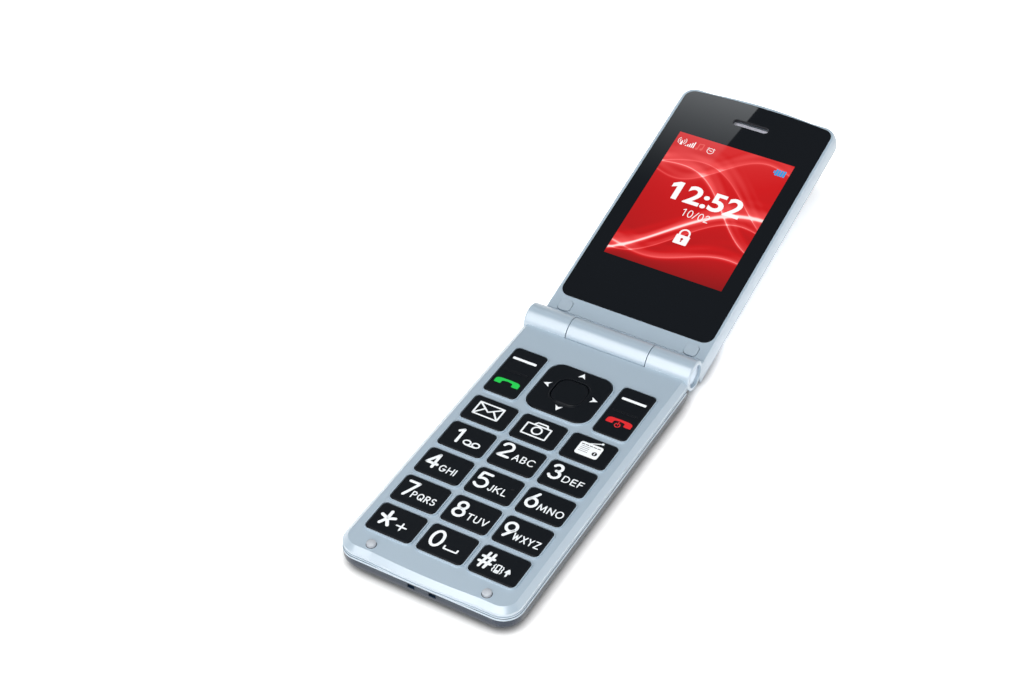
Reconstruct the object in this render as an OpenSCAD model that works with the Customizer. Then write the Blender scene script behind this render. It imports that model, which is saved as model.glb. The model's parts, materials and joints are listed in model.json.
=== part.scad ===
// Clamshell mobile phone, drawn open at its stop.
// +X is the user's right, +Y runs from the keypad's front end to the hinge and +Z is up.
// The origin is the middle of the base's flat underside.

/* [Base] */
// Width of the base over its sides
base_w = 50.6; // [50:0.1:56]
// Distance from the front end to the hinge axis
base_l = 98.45; // [98:0.05:108]
// Height of the keypad face above the underside
base_t = 9; // [8.8:0.1:11]
// Radius of the front corners seen from above
base_corner = 5.5; // [5:0.1:8]
// Height of the arc of the front end
front_bow = 0.5; // [0.3:0.05:0.6]
// Radius of the underside's long edges
underside_r = 4.2; // [2:0.1:4.6]
// Height of the joint between the two housings above the underside
split_z = 6.1; // [6:0.05:6.4]
// Width of the sloping edge round the keypad face
chamfer_w = 1.4; // [0.6:0.1:1.8]
// Drop of the sloping edge round the keypad face
chamfer_drop = 1.35; // [0.6:0.05:1.5]
// Thickness of the housings' side walls
wall = 1.4; // [1:0.1:1.8]
// Thickness of the keypad face
face_t = 1.2; // [0.8:0.1:1.3]

/* [Keys] */
// Width of the silver face between the outer keys and the base's sides
side_margin = 4.055; // [3.9:0.005:5]
// Width of the silver strips between the columns of keys
column_web = 1.67; // [1.4:0.01:2]
// Width of the silver strips between the rows of keys
row_web = 1.625; // [1.4:0.005:2]
// Distance from the front end to the first row of keys
front_margin = 8.105; // [7.9:0.005:10]
// Corner radius of the number keys
key_corner = 1.3; // [0.6:0.1:2]
// Height of the key tops above the keypad face
key_proud = 0.6; // [0.3:0.05:0.8]
// Depth that a key sinks when it is pressed
key_travel = 0.3; // [0.1:0.05:0.35]
// Gap between a key and its opening, each side
key_gap = 0.12; // [0.08:0.01:0.2]
// Width of the raised rim round each opening
bezel_w = 0.25; // [0.15:0.05:0.4]

/* [Navigation keys] */
// Side of the square navigation pad
pad_w = 18.95; // [17:0.05:20]
// Corner radius of the navigation pad
pad_corner = 4; // [3:0.1:5]
// Side of the centre key
ok_w = 9.2; // [8:0.1:9.3]
// Width of the silver strips between the pad and the rocker keys
rocker_web = 2.025; // [1.5:0.005:2.5]
// Width of the silver strip between the pad and the number keys
pad_web = 2.43; // [2:0.01:3]
// Distance from the pad to the hinge axis
rear_margin = 14.215; // [13.8:0.005:16]

/* [Hinge] */
// Radius of the hinge barrel
barrel_r = 4.38; // [4.2:0.02:4.6]
// Depth of the hinge axis below the keypad face
axis_drop = 1.25; // [1.1:0.05:1.4]
// Half length of the lid's middle knuckle
knuckle_half = 12; // [10:0.1:13]
// Gap between neighbouring knuckles
knuckle_gap = 0.25; // [0.15:0.05:0.4]
// Angle of the open lid above the keypad face
open_angle = 14.1; // [12:0.1:20]
// Radius of the spring cartridge's shaft
shaft_r = 1.9; // [1.5:0.05:2.1]
// Running clearance of the shaft and the tube in the knuckles
running_gap = 0.05; // [0.02:0.01:0.1]

/* [Lid] */
// Distance of the lid's sides inside the base's sides
lid_step = 0.25; // [0.1:0.05:0.5]
// Distance from the hinge axis to the lid's far end
lid_l = 98.15; // [98:0.05:106]
// Thickness of the lid
lid_t = 6.6; // [6.2:0.1:7]
// Radius of the lid's far corners
lid_corner = 4.6; // [4.5:0.1:6]
// Height of the arc of the lid's far end
lid_bow = 0.95; // [0.5:0.05:1.1]
// Distance of the lid's inner face below the hinge axis when it lies flat
lid_drop = 2.55; // [2.4:0.05:2.8]
// Thickness of the silver front frame at the lid's sides
lid_split = 3.6; // [3.5:0.05:3.8]
// Width of the silver frame beside the window
frame_side = 1.61; // [1.5:0.01:2.4]
// Width of the silver frame at the window's far end
frame_far = 1.53; // [1.4:0.01:2.4]
// Distance from the hinge axis to the window's near edge
window_near = 12.36; // [12:0.02:13]
// Corner radius of the window
window_corner = 3; // [2:0.1:3.5]
// Width of the black glass beside the picture
screen_side = 5.08; // [4.5:0.02:7]
// Height of the picture on the display
screen_l = 49.12; // [46:0.02:50]
// Distance from the picture to the lid's far end
screen_far = 18.79; // [17.5:0.01:20]
// Length of the earpiece slot
ear_slot_w = 11.2; // [8:0.1:13]
// Height of the earpiece slot
ear_slot_h = 2.3; // [1.5:0.1:2.6]
// Distance from the middle of the earpiece slot to the lid's far end
ear_slot_far = 9.35; // [8.5:0.05:10]

/* [Battery] */
// Thickness of the battery
battery_t = 3.5; // [3.3:0.05:3.55]
// Distance of the removable cover inside the base's sides
cover_side = 4.8; // [4.6:0.1:6]
// Distance from the front end to the removable cover
cover_front = 8.225; // [8:0.025:9]
// Thickness of the removable cover
cover_t = 0.9; // [0.7:0.05:1]

/* [Hidden] */
$fn = 64;
bow_fn = 360;
bow_share = 0.75;
bow_reach = 0.88;
tiny = 0.01;
// reach of a cut past the surface that it opens
over = 1;

silver = [0.67, 0.73, 0.79];
graphite = [0.2, 0.21, 0.23];
key_black = [0.09, 0.1, 0.11];
steel = [0.75, 0.76, 0.78];
gold = [0.85, 0.68, 0.3];
board_green = [0.05, 0.3, 0.16];
silicone = [0.75, 0.76, 0.78];
black_plastic = [0.15, 0.15, 0.16];
battery_foil = [0.8, 0.81, 0.83];
back_grey = [0.62, 0.66, 0.71];
dark_glass = [0.05, 0.06, 0.07];
picture_red = [0.75, 0.1, 0.1];
polyimide = [0.75, 0.45, 0.1];

// Base: plan and heights
base_half = base_w / 2;
front_y = -base_l / 2;
axis_y = base_l / 2;
axis_z = base_t - axis_drop;
rear_out = 0.8;
rear_y = axis_y + rear_out;
skirt_inset = 0.15;
skirt_slope = 0.8;
groove_z = split_z + 0.4;
groove_h = 0.3;
groove_depth = 0.25;
face_under = base_t - face_t;
seat_gap = 0.05;
inner_half = base_half - wall;
inner_front = front_y + wall;
inner_rear = axis_y - barrel_r - wall;
inner_corner = base_corner - wall;
tray_y = (inner_front + inner_rear) / 2;
tray_l = inner_rear - inner_front;
pocket_r = 1;
tuck_r = 12;
tuck_start = 0.12;
tuck_steps = 6;

// Base: layers between the two housings
board_t = 0.8;
board_drop = 1;
board_z = split_z - board_drop;
board_top = board_z + board_t;
board_gap = 0.3;
pan_t = 0.5;
bay_top = board_z - pan_t;
dome_r = 2.2;
dome_h = 0.3;
dome_margin = 1.5;
dome_inset = 0.4;
sheet_t = 0.1;
flange_w = 0.4;
flange_t = 0.45;
flange_top = face_under - seat_gap;
flange_z = flange_top - flange_t;
membrane_top = flange_z - key_travel - seat_gap;
membrane_z = board_top + sheet_t + dome_h + seat_gap;

// Base: rubber stops for the closed lid
bumper_r = 1.2;
bumper_in = 8.9;
bumper_x = base_half - bumper_in;
bumper_y = front_y + front_margin / 2;
bumper_seat = 0.5;
bumper_h = 1.1;
bumper_dome = 0.4;

// Keys: where they lie
rows = 5;
columns = 3;
key_w = (base_w - 2 * side_margin - (columns - 1) * column_web) / columns;
key_field_l = base_l - front_margin - pad_web - pad_w - rear_margin;
key_h = (key_field_l - (rows - 1) * row_web) / rows;
column_pitch = key_w + column_web;
row_pitch = key_h + row_web;
row_0_y = front_y + front_margin + key_h / 2;
pad_y = axis_y - rear_margin - pad_w / 2;
rocker_w = base_half - side_margin - pad_w / 2 - rocker_web;
rocker_x = base_half - side_margin - rocker_w / 2;
key_top = base_t + key_proud;
bezel_under = 0.12;
bezel_h = key_proud - bezel_under;
edge_soft = 0.3;
tilt_flange_t = 0.22;
ridge_w = 0.5;
ridge_h = 0.12;
ok_gap = 0.15;
ok_corner = 3.2;
ok_top = key_top + 0.1;
ok_flange_w = 0.3;
ok_flange_t = 0.4;
ok_flange_gap = 0.25;
ok_recess_h = 0.9;
ring_w = 0.35;
ring_h = 0.1;
pivot_in = 5.75;
pivot_out = 6.55;
pivot_sunk = 0.1;
pivot_gap = 0.14;
pivot_recess = 0.25;

// Battery bay, SIM bay and the removable cover
cover_rear = 18.225;
cover_w = base_w - 2 * cover_side;
cover_l = base_l - cover_front - cover_rear;
cover_y = front_y + cover_front + cover_l / 2;
cover_corner = 5;
cover_gap = 0.15;
tab_l = 5;
tab_t = 0.8;
tab_h = 1.2;
tab_in = 1.7;
tab_x = cover_w / 2 - tab_in;
tab_ys = [cover_y - cover_l / 3, cover_y, cover_y + cover_l / 3];
bay_gap = 0.3;
bay_floor = cover_t + seat_gap;
sim_w = 26;
sim_l = 14;
sim_t = 1.5;
sim_front = 5.4;
bay_web = 1.6;
battery_side = 3.5;
battery_rear = 3;
battery_w = cover_w - 2 * battery_side;
battery_l = cover_l - battery_rear - bay_web - sim_l - sim_front;
battery_y = cover_y + cover_l / 2 - battery_l / 2 - battery_rear;
sim_y = battery_y - battery_l / 2 - sim_l / 2 - bay_web;
sim_wall = 0.3;
card_w = 24.8;
contact_w = 1.6;
contact_l = 2;
contact_pitch = 3;
contact_y = battery_y + battery_l / 2 - contact_l;
contact_room = 0.7;

// Rear bay: loudspeaker and vibration motor
rear_bay_y = cover_y + cover_l / 2 + bay_web;
rear_bay_l = inner_rear - rear_bay_y;
rear_bay_w = 36;
rear_bay_mid = rear_bay_y + rear_bay_l / 2;
rear_bay_floor = 1.2;
speaker_w = 15;
speaker_x = -9;
speaker_t = board_z - rear_bay_floor;
speaker_foam_h = 0.9;
speaker_rim = 1;
motor_r = 4;
motor_t = 2.7;
motor_x = 11;
slot_w = 1;
slot_l = 5.4;
slot_pitch = 2.4;

// Front end: microphone and strap eyelet
mic_r = 2;
mic_t = 1.5;
mic_x = 9;
mic_in = 0.2;
mic_y = inner_front + mic_r + mic_in;
mic_hole_r = 0.45;
strap_slot_w = 2;
strap_slot_h = 1.2;
strap_slot_x = 3;
strap_slot_z = 4.45;
strap_depth = 1.9;
strap_room = 0.8;

// Side fittings
usb_rear = 19.225;
usb_y = axis_y - usb_rear;
usb_w = 7.6;
usb_h = 2.7;
usb_l = 5.2;
usb_wall = 0.3;
usb_lip = 0.5;
usb_flat = 1;
usb_r = (usb_h - usb_flat) / 2;
usb_tongue_t = 0.6;
usb_z = board_z - usb_h / 2;
volume_y = 5;
volume_l = 15;
volume_h = 2;
volume_proud = 0.5;
volume_z = 3.3;
volume_in = 1.2;
volume_gap = 0.2;
volume_flange = 0.6;
volume_room = 1.2;

// Screws
screw_r = 0.7;
screw_head_r = 1.4;
screw_head_h = 0.8;
screw_seat = 1.2;
screw_top = face_under - 0.4;
boss_r = 1.6;
boss_in = 4;
boss_gap = 0.33;
boss_x = inner_half - boss_in;
boss_front_y = front_y + front_margin - flange_w - boss_r - boss_gap;
boss_rear_y = inner_rear - boss_in;
boss_ys = [boss_front_y, boss_rear_y];
thread_gap = 0.02;

// Hinge
bore_gap = 0.1;
cap_r = 3.3;
cap_t = 1.7;
cap_rim = 0.6;
cap_sunk = 0.8;
dish_depth = 0.4;
end_round = 0.5;
swing_gap = 0.3;
can_r = 3;
can_end = 2;
shaft_in = 4.3;
shaft_end = base_half - shaft_in;
shaft_play = 0.5;
tube_r = 2.4;
tube_wall = 0.6;
tube_start = 4;
flex_r = 1.4;
flex_wall = 0.3;
flex_end = 1.5;

// Lid: heights are measured from the hinge axis with the lid lying flat
lid_half = base_half - lid_step;
lid_w = 2 * lid_half;
window_w = lid_w - 2 * frame_side;
window_l = lid_l - window_near - frame_far;
screen_w = window_w - 2 * screen_side;
screen_near = lid_l - screen_far - screen_l;
ear_slot_y = lid_l - ear_slot_far;
lid_face = -lid_drop;
lid_back = lid_face - lid_t;
lid_seam = lid_face - lid_split;
lid_near = 2.6;
lid_edge_in = 0.85;
lid_edge_drop = 2.4;
lid_mid_in = 0.3;
lid_mid_drop = 1;
lid_back_r = lid_t - lid_split;
back_steps = 9;
lid_near_r = 4;
cover_wall = 1;
lid_wall = 2.2;
lid_room_w = 30;
lid_room_near = 7.5;
lid_room_far = 12;
lid_room_roof = 1.2;
lid_clear_r = barrel_r + swing_gap;
web_near = 0.9;
web_low = lid_seam + 0.1;
web_top = lid_face - 0.5;
window_t = 1;
window_gap = 0.06;
window_seat = lid_face - window_t - seat_gap;
ledge_w = 1.4;
module_t = 1.9;
module_border = 1.9;
module_tail = 4.5;
module_top = window_seat;
module_l = screen_l + 2 * module_border + module_tail;
module_w = screen_w + 2 * module_border;
module_y = screen_near + screen_l / 2 - module_tail / 2;
grille_t = 0.2;
grille_z = lid_face - 1.9;
grille_margin = 1;
ear_w = 14;
ear_l = 7;
ear_t = 1.6;
lid_board_t = 0.7;
lid_board_z = lid_seam - lid_board_t;
lid_board_in = 6.05;
lid_board_w = lid_w - 2 * lid_board_in;
lid_board_near = 14;
lid_board_far = ear_slot_y - ear_l / 2 - 2 * cover_wall;
lid_board_y = (lid_board_near + lid_board_far) / 2;
lid_post_r = 1.6;
lid_post_in = 2;
lid_post_x = lid_board_w / 2 - lid_post_in;
lid_post_low = lid_board_near + lid_post_in;
lid_post_high = lid_board_far - lid_post_in;
lid_post_ys = [lid_post_low, lid_board_y, lid_post_high];
camera_y = 21;
camera_w = 7;
camera_gap = 0.3;
camera_lens_r = 2.4;
camera_glass_t = 0.8;
lens_gap = 0.05;
plug_in = 5.55;
plug_x = lid_half - plug_in;
plug_w = 3.9;
plug_corner = 1.2;
plug_far = 10.8;
plug_near = 7.2;
plug_gap = 0.1;
plug_proud = 0.2;
plug_depth = 0.8;
lid_screw_y = (plug_far + plug_near) / 2;
crease_y = 6.8;
crease_w = 0.3;
crease_depth = 0.3;
magnet_w = 4;
magnet_t = 1;
magnet_in = 9.05;
magnet_x = magnet_in - lid_half;
magnet_y = ear_slot_y;

// Shared shapes ----------------------------------------------------------------

// Rounded rectangle centred on the origin
module rounded_rect(w, l, r) {
    square([w - 2 * r, l], center = true);
    square([w, l - 2 * r], center = true);
    for (x = [-1, 1], y = [-1, 1])
        translate([x * (w / 2 - r), y * (l / 2 - r)]) circle(r);
}

module rounded_block(w, l, h, r) {
    linear_extrude(h) rounded_rect(w, l, r);
}

// Radius of an arc that rises by bow over half its chord
function bow_radius(half_chord, bow) = (half_chord * half_chord + bow * bow) / (2 * bow);

// Slab whose sides and front carry a rim section. The section's x runs outwards
// from the corner centres and its y is the height; the rear end is cut square.
module rimmed_slab(half_w, front, rear, corner, low, high) {
    side_x = half_w - corner;
    corner_y = front + corner;
    translate([-side_x, corner_y, low])
        cube([2 * side_x, rear - corner_y, high - low]);
    translate([side_x, corner_y, 0]) rotate([0, 0, -90]) rotate([90, 0, 0])
        linear_extrude(2 * side_x) children();
    for (side = [0, 1]) mirror([side, 0, 0]) {
        translate([side_x, rear, 0]) rotate([90, 0, 0])
            linear_extrude(rear - corner_y) children();
        translate([side_x, corner_y, 0]) rotate([0, 0, -90])
            rotate_extrude(angle = 90) children();
    }
}

// Arc of the same rim section that stands out by bow from the middle of a slab's front
module rim_bow(half_w, front, corner, bow, low, high) {
    side_x = half_w - corner;
    bow_r = bow_radius(bow_share * side_x, bow);
    sweep = asin(bow_reach * side_x / bow_r);
    translate([0, front + bow_r, 0]) rotate([0, 0, -90 - sweep])
        rotate_extrude(angle = 2 * sweep, $fn = bow_fn) {
            translate([bow_r - corner, 0]) children();
            translate([bow_r - corner - 2 * bow, low]) square([2 * bow + tiny, high - low]);
        }
}

// Rounded outline from near to the bowed far end, an arc of radius bow_r about bow_y
module bowed_rect(w, near, bow_y, bow_r, r) {
    x = w / 2 - r;
    y = bow_y + sqrt((bow_r - r) * (bow_r - r) - x * x);
    lean = x / (bow_r - r);
    reach = 2 * r;
    translate([-w / 2, near + r]) square([w, y - near - r]);
    translate([-x, near]) square([2 * x, y - near]);
    for (side = [-1, 1], end = [near + r, y]) translate([side * x, end]) circle(r);
    intersection() {
        translate([0, bow_y]) circle(bow_r, $fn = bow_fn);
        polygon([
            [-x, y - tiny], [-x - reach * lean, y + reach], [x + reach * lean, y + reach], [x, y - tiny]
        ]);
    }
}

// Cylinder along X from x0 to x1 on the hinge axis
module axis_rod(x0, x1, r) {
    translate([x0, 0, 0]) rotate([0, 90, 0]) cylinder(h = x1 - x0, r = r);
}

module at_axis() {
    translate([0, axis_y, axis_z]) children();
}

// Places what is drawn with the lid lying flat at the open lid
module at_lid() {
    at_axis() rotate([open_angle, 0, 0]) children();
}

// Pan-head screw that points up from its head
module screw(length) {
    cylinder(h = screw_head_h, r = screw_head_r);
    cylinder(h = length, r = screw_r);
}

// Base -------------------------------------------------------------------------

module upper_section() {
    edge = base_corner - skirt_inset;
    polygon([
        [0, split_z], [edge, split_z],
        [edge, groove_z], [edge - groove_depth, groove_z],
        [edge - groove_depth, groove_z + groove_h], [edge, groove_z + groove_h],
        [edge, base_t - chamfer_drop], [edge - chamfer_w, base_t], [0, base_t]
    ]);
}

module lower_section() {
    difference() {
        polygon([
            [0, 0], [base_corner, 0], [base_corner, split_z - skirt_slope],
            [base_corner - skirt_inset, split_z], [0, split_z]
        ]);
        translate([base_corner - underside_r, 0]) difference() {
            square(underside_r);
            translate([0, underside_r]) circle(underside_r);
        }
    }
}

// Rear end of the lower housing, rounded under the barrel
module rear_round() {
    translate([0, rear_y, 0]) rotate([90, 0, -90]) linear_extrude(base_w + 2 * over, center = true)
        difference() {
            translate([-over, -over]) square(underside_r + over);
            translate([underside_r, underside_r]) circle(underside_r);
        }
}

// Reach of the lower housing from a corner tuck's axis at a height
function tuck_reach(z) = tuck_r - underside_r
    + sqrt(pow(underside_r, 2) - pow(max(underside_r - z, 0), 2))
    + (tuck_start + (1 - tuck_start) * z / split_z) * (tuck_r - base_corner) * (sqrt(2) - 1);

// Rounds the lower housing's four corners more and more towards the underside
module corner_tucks() {
    far = 2 * tuck_r;
    for (side = [0, 1], end = [0, 1]) mirror([side, 0, 0])
        translate([base_half - tuck_r, end == 0 ? front_y + front_bow + tuck_r : rear_y - tuck_r, 0])
        rotate([0, 0, -90 + 90 * end]) rotate_extrude(angle = 90)
            polygon([
                [tuck_reach(0), -over],
                for (i = [0:tuck_steps]) [tuck_reach(split_z * pow(i / tuck_steps, 2)),
                    split_z * pow(i / tuck_steps, 2)],
                [far, split_z], [far, -over]
            ]);
}

module key_places() {
    for (row = [0:rows - 1], column = [-1:1])
        translate([column * column_pitch, row_0_y + row * row_pitch]) children();
}

module rocker_places() {
    for (side = [-1, 1]) translate([side * rocker_x, pad_y]) children();
}

// Every opening in the keypad face, widened by grow on each side
module face_openings(grow) {
    key_places() rounded_rect(key_w + 2 * grow, key_h + 2 * grow, key_corner + grow);
    rocker_places() rounded_rect(rocker_w + 2 * grow, pad_w + 2 * grow, key_corner + grow);
    translate([0, pad_y]) rounded_rect(pad_w + 2 * grow, pad_w + 2 * grow, pad_corner + grow);
}

// One of the base's two knuckles, with the round recess of its end cap
module outer_knuckle() {
    inner_x = knuckle_half + knuckle_gap;
    rotate([0, 90, 0]) rotate_extrude() difference() {
        translate([0, inner_x]) square([barrel_r, base_half - inner_x]);
        translate([barrel_r - end_round, base_half - end_round]) difference() {
            square(end_round);
            circle(end_round);
        }
    }
}

module upper_housing() {
    middle = knuckle_half + knuckle_gap;
    color(silver) difference() {
        union() {
            rimmed_slab(base_half, front_y + front_bow, axis_y, base_corner, split_z, base_t)
                upper_section();
            translate([0, 0, tiny])
                rim_bow(base_half, front_y, base_corner, front_bow, split_z, base_t) upper_section();
            translate([0, 0, base_t - tiny]) linear_extrude(bezel_h + tiny)
                face_openings(key_gap + bezel_w);
            at_axis() for (side = [0, 1]) mirror([side, 0, 0]) outer_knuckle();
        }
        // inside of the shell
        translate([0, tray_y, split_z - over])
            rounded_block(2 * inner_half, tray_l, face_under - split_z + over, inner_corner);
        translate([0, 0, face_under - over]) linear_extrude(face_t + 2 * over) face_openings(key_gap);
        for (side = [-1, 1]) translate([side * bumper_x, bumper_y, base_t - bumper_seat])
            cylinder(h = bumper_seat + over, r = bumper_r + seat_gap);
        // room for the lid's knuckle
        at_axis() axis_rod(-middle, middle, barrel_r + swing_gap);
        translate([-middle, axis_y, split_z - over]) cube([2 * middle, 2 * barrel_r, base_t]);
        // bores of the shaft and the tube, recesses of the end caps
        at_axis() axis_rod(-shaft_end - shaft_play, -middle + over, shaft_r + running_gap);
        at_axis() axis_rod(middle - over, shaft_end + shaft_play, tube_r + running_gap);
        at_axis() for (side = [0, 1]) mirror([side, 0, 0])
            axis_rod(base_half - cap_t, base_half + over, cap_r);
    }
    color(silver) screw_places() difference() {
        translate([0, 0, board_top]) cylinder(h = face_under - board_top + tiny, r = boss_r);
        cylinder(h = screw_top + seat_gap, r = screw_r + thread_gap);
    }
}

module bumper_pads() {
    dome_sphere = (bumper_r * bumper_r + bumper_dome * bumper_dome) / (2 * bumper_dome);
    color(silicone) for (side = [-1, 1])
        translate([side * bumper_x, bumper_y, base_t - bumper_seat]) intersection() {
            cylinder(h = bumper_seat + bumper_h, r = bumper_r);
            translate([0, 0, bumper_seat + bumper_h - dome_sphere]) sphere(dome_sphere);
        }
}

module screw_places() {
    for (x = [-boss_x, boss_x], y = boss_ys) translate([x, y, 0]) children();
}

module lower_housing() {
    middle = knuckle_half + knuckle_gap;
    color(graphite) difference() {
        rimmed_slab(base_half, front_y + front_bow, rear_y, base_corner, 0, split_z) lower_section();
        corner_tucks();
        rear_round();
        // seats of the base's knuckles and room for the lid's
        at_axis() axis_rod(-base_half - over, base_half + over, barrel_r + seat_gap);
        at_axis() axis_rod(-middle, middle, barrel_r + swing_gap);
        translate([-base_half - over, axis_y, axis_z - barrel_r])
            cube([base_w + 2 * over, 2 * barrel_r, base_t]);
        // board tray
        translate([0, tray_y, board_z]) rounded_block(2 * inner_half, tray_l, split_z, inner_corner);
        // recess of the cover, battery bay, card bay
        translate([0, cover_y, -over])
            rounded_block(cover_w + 2 * cover_gap, cover_l + 2 * cover_gap, bay_floor + over, cover_corner);
        translate([0, battery_y, 0])
            rounded_block(battery_w + 2 * bay_gap, battery_l + 2 * bay_gap, bay_top, pocket_r);
        translate([0, sim_y, 0])
            rounded_block(sim_w + 2 * bay_gap, sim_l + 2 * bay_gap, bay_top, pocket_r);
        tab_places() snap_tab(cover_gap, -over);
        // window of the battery contacts to the board
        translate([0, contact_y, 0])
            rounded_block(4 * contact_pitch, contact_l + 2 * contact_room, base_t, pocket_r / 2);
        // rear bay with its sound slots
        translate([0, rear_bay_mid, rear_bay_floor])
            rounded_block(rear_bay_w, rear_bay_l, split_z, 1.5 * pocket_r);
        for (i = [-2:2]) translate([speaker_x + i * slot_pitch, rear_bay_mid, -over])
            rounded_block(slot_w, slot_l, rear_bay_floor + 2 * over, slot_w / 2 - tiny);
        // microphone pocket and its hole in the underside
        translate([mic_x, mic_y, board_z - mic_t]) cylinder(h = mic_t + over, r = mic_r + seat_gap);
        translate([mic_x, mic_y, -over]) cylinder(h = board_z, r = mic_hole_r);
        strap_eyelet();
        // side openings of the port and the volume key
        into_left_side(-over, usb_y, usb_z)
            rounded_block(usb_w + 2 * seat_gap, usb_h + 2 * seat_gap, usb_l + over + usb_lip,
                usb_r + seat_gap);
        into_left_side(-over, volume_y, volume_z)
            rounded_block(volume_l + 2 * volume_gap, volume_h + 2 * volume_gap, volume_in + over + tiny,
                volume_h / 2);
        into_left_side(volume_in, volume_y, volume_z)
            rounded_block(volume_l + 2 * volume_room, volume_h + 2 * volume_flange + 2 * volume_gap,
                volume_gap + 3 * volume_flange, pocket_r);
        screw_places() {
            translate([0, 0, -over]) cylinder(h = over + screw_seat, r = screw_head_r + bore_gap);
            cylinder(h = base_t, r = screw_r + bore_gap);
        }
    }
}

// Two slots in the front end, joined behind a bar
module strap_eyelet() {
    low = strap_slot_z - strap_slot_h / 2;
    for (side = [-1, 1]) translate([side * strap_slot_x - strap_slot_w / 2, front_y - over, low])
        cube([strap_slot_w, strap_depth + over, strap_slot_h]);
    translate([-strap_slot_x - strap_slot_w / 2, front_y + strap_depth - strap_room, low])
        cube([2 * strap_slot_x + strap_slot_w, strap_room, strap_slot_h]);
}

// Parts between the housings ------------------------------------------------------

module main_board() {
    color(board_green) difference() {
        translate([0, tray_y, board_z])
            rounded_block(2 * inner_half - 2 * board_gap, tray_l - 2 * board_gap, board_t, inner_corner);
        screw_places() cylinder(h = base_t, r = screw_r + bore_gap);
    }
}

// Sheet of metal domes, one under each switch
module dome_sheet() {
    low_y = row_0_y - dome_r - dome_margin;
    high_y = pad_y + pad_w / 2;
    color(steel) {
        translate([0, (low_y + high_y) / 2, board_top])
            rounded_block(2 * (rocker_x + dome_r + dome_margin), high_y - low_y, sheet_t, pocket_r);
        translate([0, 0, board_top + sheet_t]) {
            key_places() dome();
            rocker_places() for (y = [-1, 1]) translate([0, y * pad_w / 4, 0]) dome();
            translate([0, pad_y, 0]) dome();
            for (turn = [0:90:270]) translate([0, pad_y, 0]) rotate([0, 0, turn])
                translate([0, pad_w / 2 - dome_r - dome_inset, 0]) dome();
        }
    }
}

module dome() {
    sphere_r = (dome_r * dome_r + dome_h * dome_h) / (2 * dome_h);
    translate([0, 0, -sheet_t / 2]) intersection() {
        cylinder(h = dome_h + sheet_t / 2, r = dome_r);
        translate([0, 0, dome_h + sheet_t / 2 - sphere_r]) sphere(sphere_r);
    }
}

// Silicone sheet that carries the keys
module keypad_membrane() {
    low_y = row_0_y - key_h / 2 - flange_w;
    high_y = pad_y + pad_w / 2 + flange_w;
    full_w = 2 * (rocker_x + rocker_w / 2 + flange_w);
    color(silicone) difference() {
        translate([0, (low_y + high_y) / 2, membrane_z])
            rounded_block(full_w, high_y - low_y, membrane_top - membrane_z, pocket_r);
        translate([0, pad_y, membrane_top - pivot_recess]) cylinder(h = 1, r = pivot_out + bore_gap);
    }
}

module battery_contacts() {
    contact_z = bay_floor + battery_t;
    color(gold) for (i = [-1:1])
        translate([i * contact_pitch - contact_w / 2, contact_y - contact_l / 2, contact_z])
            cube([contact_w, contact_l, board_z - contact_z]);
}

module battery() {
    color(battery_foil) translate([0, battery_y + battery_l / 2, bay_floor + battery_t / 2])
        rotate([90, 0, 0]) rounded_block(battery_w, battery_t, battery_l, battery_t / 3);
}

// Metal cage for the card, open towards the battery
module sim_holder() {
    color(steel) translate([0, sim_y, bay_top - sim_t]) difference() {
        rounded_block(sim_w, sim_l, sim_t, pocket_r);
        translate([-card_w / 2, -sim_l / 2 + 4 * sim_wall, sim_wall])
            cube([card_w, sim_l, sim_t - 2 * sim_wall]);
        translate([0, sim_wall, -tiny]) rounded_block(0.7 * card_w, sim_l / 2, sim_t / 2, pocket_r);
    }
}

// Loudspeaker on the foam frame that seals it round the sound slots
module loudspeaker() {
    speaker_l = rear_bay_l - 2 * bay_gap;
    color(black_plastic) translate([speaker_x, rear_bay_mid, rear_bay_floor]) difference() {
        rounded_block(speaker_w, speaker_l, speaker_t, 1.5 * pocket_r);
        translate([0, 0, -tiny])
            rounded_block(speaker_w - 2 * speaker_rim, speaker_l - 2 * speaker_rim, speaker_foam_h,
                pocket_r);
    }
}

module microphone() {
    color(steel) translate([mic_x, mic_y, board_z - mic_t])
        cylinder(h = mic_t, r = mic_r);
}

module vibration_motor() {
    color(steel) translate([motor_x, rear_bay_mid, board_z - motor_t])
        cylinder(h = motor_t, r = motor_r);
}

// Lays a block's width along Y, its height along Z and its length into the left side
module into_left_side(inset, y, z) {
    translate([-base_half + inset, y, z]) rotate([0, 90, 0]) rotate([0, 0, 90]) children();
}

module usb_port() {
    color(steel) into_left_side(usb_lip, usb_y, usb_z) {
        difference() {
            rounded_block(usb_w, usb_h, usb_l, usb_r);
            translate([0, 0, -tiny])
                rounded_block(usb_w - 2 * usb_wall, usb_h - 2 * usb_wall, usb_l - usb_wall,
                    usb_r - usb_wall);
        }
        // contact tongue
        translate([-usb_w / 4, -usb_tongue_t / 2, usb_lip])
            cube([usb_w / 2, usb_tongue_t, usb_l - usb_lip]);
    }
}

module housing_screws() {
    color(steel) screw_places() translate([0, 0, screw_seat - screw_head_h])
        screw(screw_top - screw_seat + screw_head_h);
}

// Dished discs that close the ends of the barrel
module hinge_caps() {
    dish_w = cap_r - cap_rim;
    dish_r = (dish_w * dish_w + dish_depth * dish_depth) / (2 * dish_depth);
    disc_t = cap_t - cap_sunk;
    color(steel) at_axis() for (side = [0, 1]) mirror([side, 0, 0])
        translate([base_half - cap_t, 0, 0]) rotate([0, 90, 0]) rotate_extrude() difference() {
            square([cap_r - tiny, disc_t]);
            translate([0, disc_t + dish_r - dish_depth]) circle(dish_r);
        }
}

module tab_places() {
    for (x = [-tab_x, tab_x], y = tab_ys) translate([x, y, 0]) children();
}

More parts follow.
